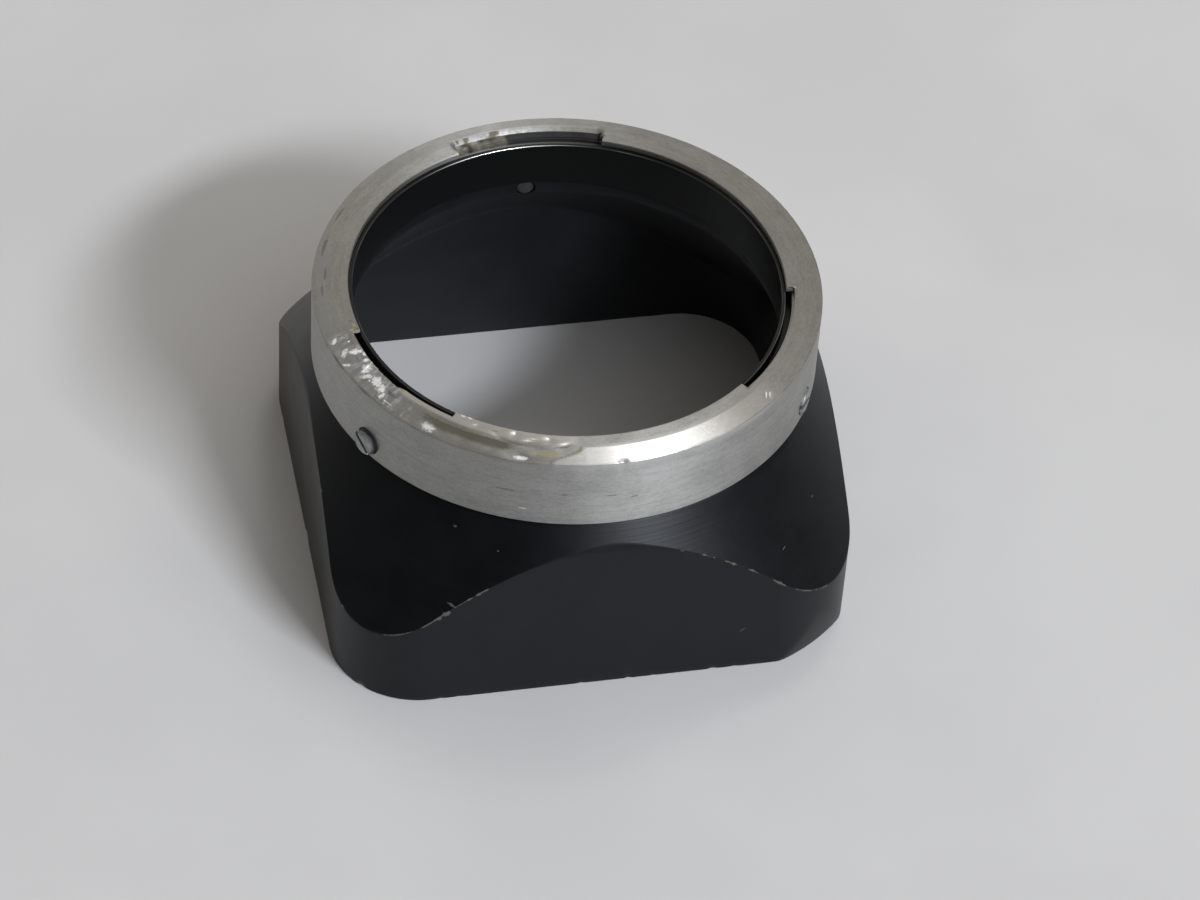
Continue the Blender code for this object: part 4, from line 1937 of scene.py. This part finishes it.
        def pick(label: str) -> Socket:
            """Read the value that is given for each screw.

            Args:
                label: What the value is.

            Returns:
                The value for the screw at hand.
            """
            switch = tree.node("GeometryNodeIndexSwitch", data_type="FLOAT")
            while len(switch.index_switch_items) < len(SCREW_ANGLES):
                switch.index_switch_items.new()
            tree.feed(switch.inputs["Index"], index)
            for number in range(1, len(SCREW_ANGLES) + 1):
                tree.feed(switch.inputs[number], told[f"{label} {number}"])
            return switch.outputs[0]

        def turned(*angles: Feed) -> Socket:
            """A rotation by three angles."""
            return tree.node("FunctionNodeEulerToRotation", {0: tree.vector(*angles)}).outputs[0]

        angle = pick("Angle")
        reach = tree.math("ADD", told["Point Radius"], pick("Backed Off"))
        x = tree.math("MULTIPLY", reach, tree.math("COSINE", angle))
        y = tree.math("MULTIPLY", reach, tree.math("SINE", angle))
        spots = {"Count": told["Count"], "Position": tree.vector(x, y, told["Height"])}
        points = tree.node("GeometryNodePoints", spots).outputs[0]
        laid = turned(0.0, math.pi / 2, angle)
        twist = {"Rotation": laid, "Rotate By": turned(0.0, 0.0, pick("Slot Turn"))}
        lie = tree.node("FunctionNodeRotateRotation", twist, rotation_space="LOCAL").outputs[0]
        placed = {"Points": points, "Instance": tree.held("Pattern"), "Rotation": lie}
        tree.end(tree.node("GeometryNodeInstanceOnPoints", placed).outputs[0])
        return tree

    def build(self) -> Piece:
        """Put the three screws in.

        Returns:
            The screws.
        """
        pattern = self.pattern()
        screws = self.tree(pattern).run("set_screws")
        bpy.data.objects.remove(pattern)
        return screws

    def dress(self, screws: Piece) -> None:
        """Paint shade that deepens into the slots and the threads, a set darkness on the points and
        grime in patches on the ends.

        Args:
            screws: The screws.
        """
        angle, radius, height = cylinder_places(screws.data)
        grime = np.ones_like(radius)
        patches = 0.55 * Grain(41, 700).at(angle, height / 0.35)
        for place, back in zip(SCREW_ANGLES, self.backed_off):
            away = np.radians(turned_from(angle, place))
            below = self.outer_end + back - radius * np.cos(away)
            # Painted shade: darker with depth below the outer end, into the slots and the threads; past
            # the point depth the points get a set darkness
            darkened_by_depth = 0.95 * rise(below, 0.05, 0.3)
            darkened_by_depth = np.where(below > self.point_depth, self.point_darkening, darkened_by_depth)
            grime = np.where(np.abs(away) < 0.2, np.maximum(patches, darkened_by_depth), grime)
        paint(screws.data, Wear.GRIME, grime)


@dataclass(frozen=True)
class Lamp:
    """A soft oblong lamp that faces the hood.

    Its direction is the one from the hood to the lamp. Distance and size are in millimetres and its
    power is in watts.
    """

    name: str
    towards: tuple[float, float, float]
    distance: float
    size: tuple[float, float]
    power: float
    colour: tuple[float, float, float]

    def hang(self) -> None:
        """Put the lamp in the scene."""
        data = bpy.data.lights.new(self.name, "AREA")
        data.shape = "RECTANGLE"
        data.size, data.size_y = (side * MM for side in self.size)
        data.energy = self.power
        data.color = self.colour
        lamp = bpy.data.objects.new(self.name, data)
        way = Vector(self.towards).normalized()
        lamp.location = way * self.distance * MM
        lamp.rotation_euler = way.to_track_quat("Z", "Y").to_euler()
        bpy.context.scene.collection.objects.link(lamp)


@dataclass
class Studio:
    """The table, the light and the camera."""

    azimuth: float = -13.78
    elevation: float = 44.59
    roll: float = 3.99
    distance: float = 378.26
    target: tuple[float, float, float] = (2.02, -6.87, 12.0)
    lens: float = 136.56
    sensor: float = 36.0
    nearest: float = 10.0
    table_half: float = 1500.0
    floor_drop: float = 0.01
    lamps: tuple[Lamp, ...] = (
        Lamp("window", (0.389, -0.675, 0.628), 2000.0, (600.0, 160.0), 30.0, (0.96, 0.99, 1.05)),
        Lamp("sky", (0.38, -0.62, 0.69), 2000.0, (2200.0, 1800.0), 16.0, (0.98, 1.0, 1.03)),
        Lamp("ceiling_lamp", (0.21, 0.37, 0.90), 1500.0, (280.0, 280.0), 1.6, (1.0, 1.0, 1.0)),
    )
    room_colour: Colour = (1.06, 1.0, 0.90, 1.0)
    room_light: tuple[float, float, float] = (0.10, 0.65, 0.75)
    room_band: tuple[float, float] = (-0.1, 0.95)
    room_strength: tuple[float, float] = (0.06, 0.46)

    def build(self) -> None:
        """Set up the table, the light and the camera."""
        self.table()
        self.light()
        self.camera()
        bpy.context.scene.view_settings.view_transform = "Standard"

    def table(self) -> None:
        """A wide pale table just under the rim."""
        half, low = self.table_half * MM, -self.floor_drop * MM
        mesh = bpy.data.meshes.new("table")
        corners = [(-half, -half, low), (half, -half, low), (half, half, low), (-half, half, low)]
        mesh.from_pydata(corners, [], [(0, 1, 2, 3)])
        table = bpy.data.objects.new("table", mesh)
        mesh.materials.append(PaleTable().material())
        bpy.context.scene.collection.objects.link(table)

    def light(self) -> None:
        """A cool window and the sky beside it at the front right, a lamp above and a warm dim room."""
        for lamp in self.lamps:
            lamp.hang()
        world = bpy.data.worlds.new("room")
        world.use_nodes = True
        room = NodeWriter(world.node_tree)
        way = room.node("ShaderNodeTexCoord").outputs["Generated"]
        ways = {0: way, 1: self.room_light}
        lit = room.node("ShaderNodeVectorMath", ways, operation="DOT_PRODUCT").outputs["Value"]
        ground = room.tree.nodes["Background"]
        ground.inputs["Color"].default_value = self.room_colour
        strength = room.span(room.band(lit, *self.room_band), *self.room_strength)
        room.feed(ground.inputs["Strength"], strength)
        bpy.context.scene.world = world

    def camera(self) -> None:
        """A camera at the photograph's angle."""
        turn, tilt, roll = (math.radians(v) for v in (self.azimuth, self.elevation, self.roll))
        level_share = math.cos(tilt)
        back = Vector((math.sin(turn) * level_share, -math.cos(turn) * level_share, math.sin(tilt)))
        level = (-back).cross(Vector((0.0, 0.0, 1.0))).normalized()
        upright = back.cross(level)
        side = math.cos(roll) * level + math.sin(roll) * upright
        up = math.cos(roll) * upright - math.sin(roll) * level
        data = bpy.data.cameras.new("camera")
        data.sensor_width = self.sensor
        data.lens = self.lens
        data.clip_start = self.nearest * MM
        camera = bpy.data.objects.new("camera", data)
        place = Matrix((side, up, back)).transposed().to_4x4()
        place.translation = (Vector(self.target) + back * self.distance) * MM
        camera.matrix_world = place
        bpy.context.scene.collection.objects.link(camera)
        bpy.context.scene.camera = camera


def main() -> None:
    """Set up the studio, then build, dress and fasten each piece."""
    logging.basicConfig(level=logging.INFO, format="%(name)s: %(message)s")
    Studio().build()
    for assembly in (HoodShell(), BayonetRing(), PressureRing(), WaveSpring(), SetScrews()):
        piece = assembly.build()
        assembly.dress(piece)
        assembly.fasten(piece)
        LOG.info("%s has %d faces", piece.name, len(piece.data.polygons))


if __name__ == "__main__":
    main()
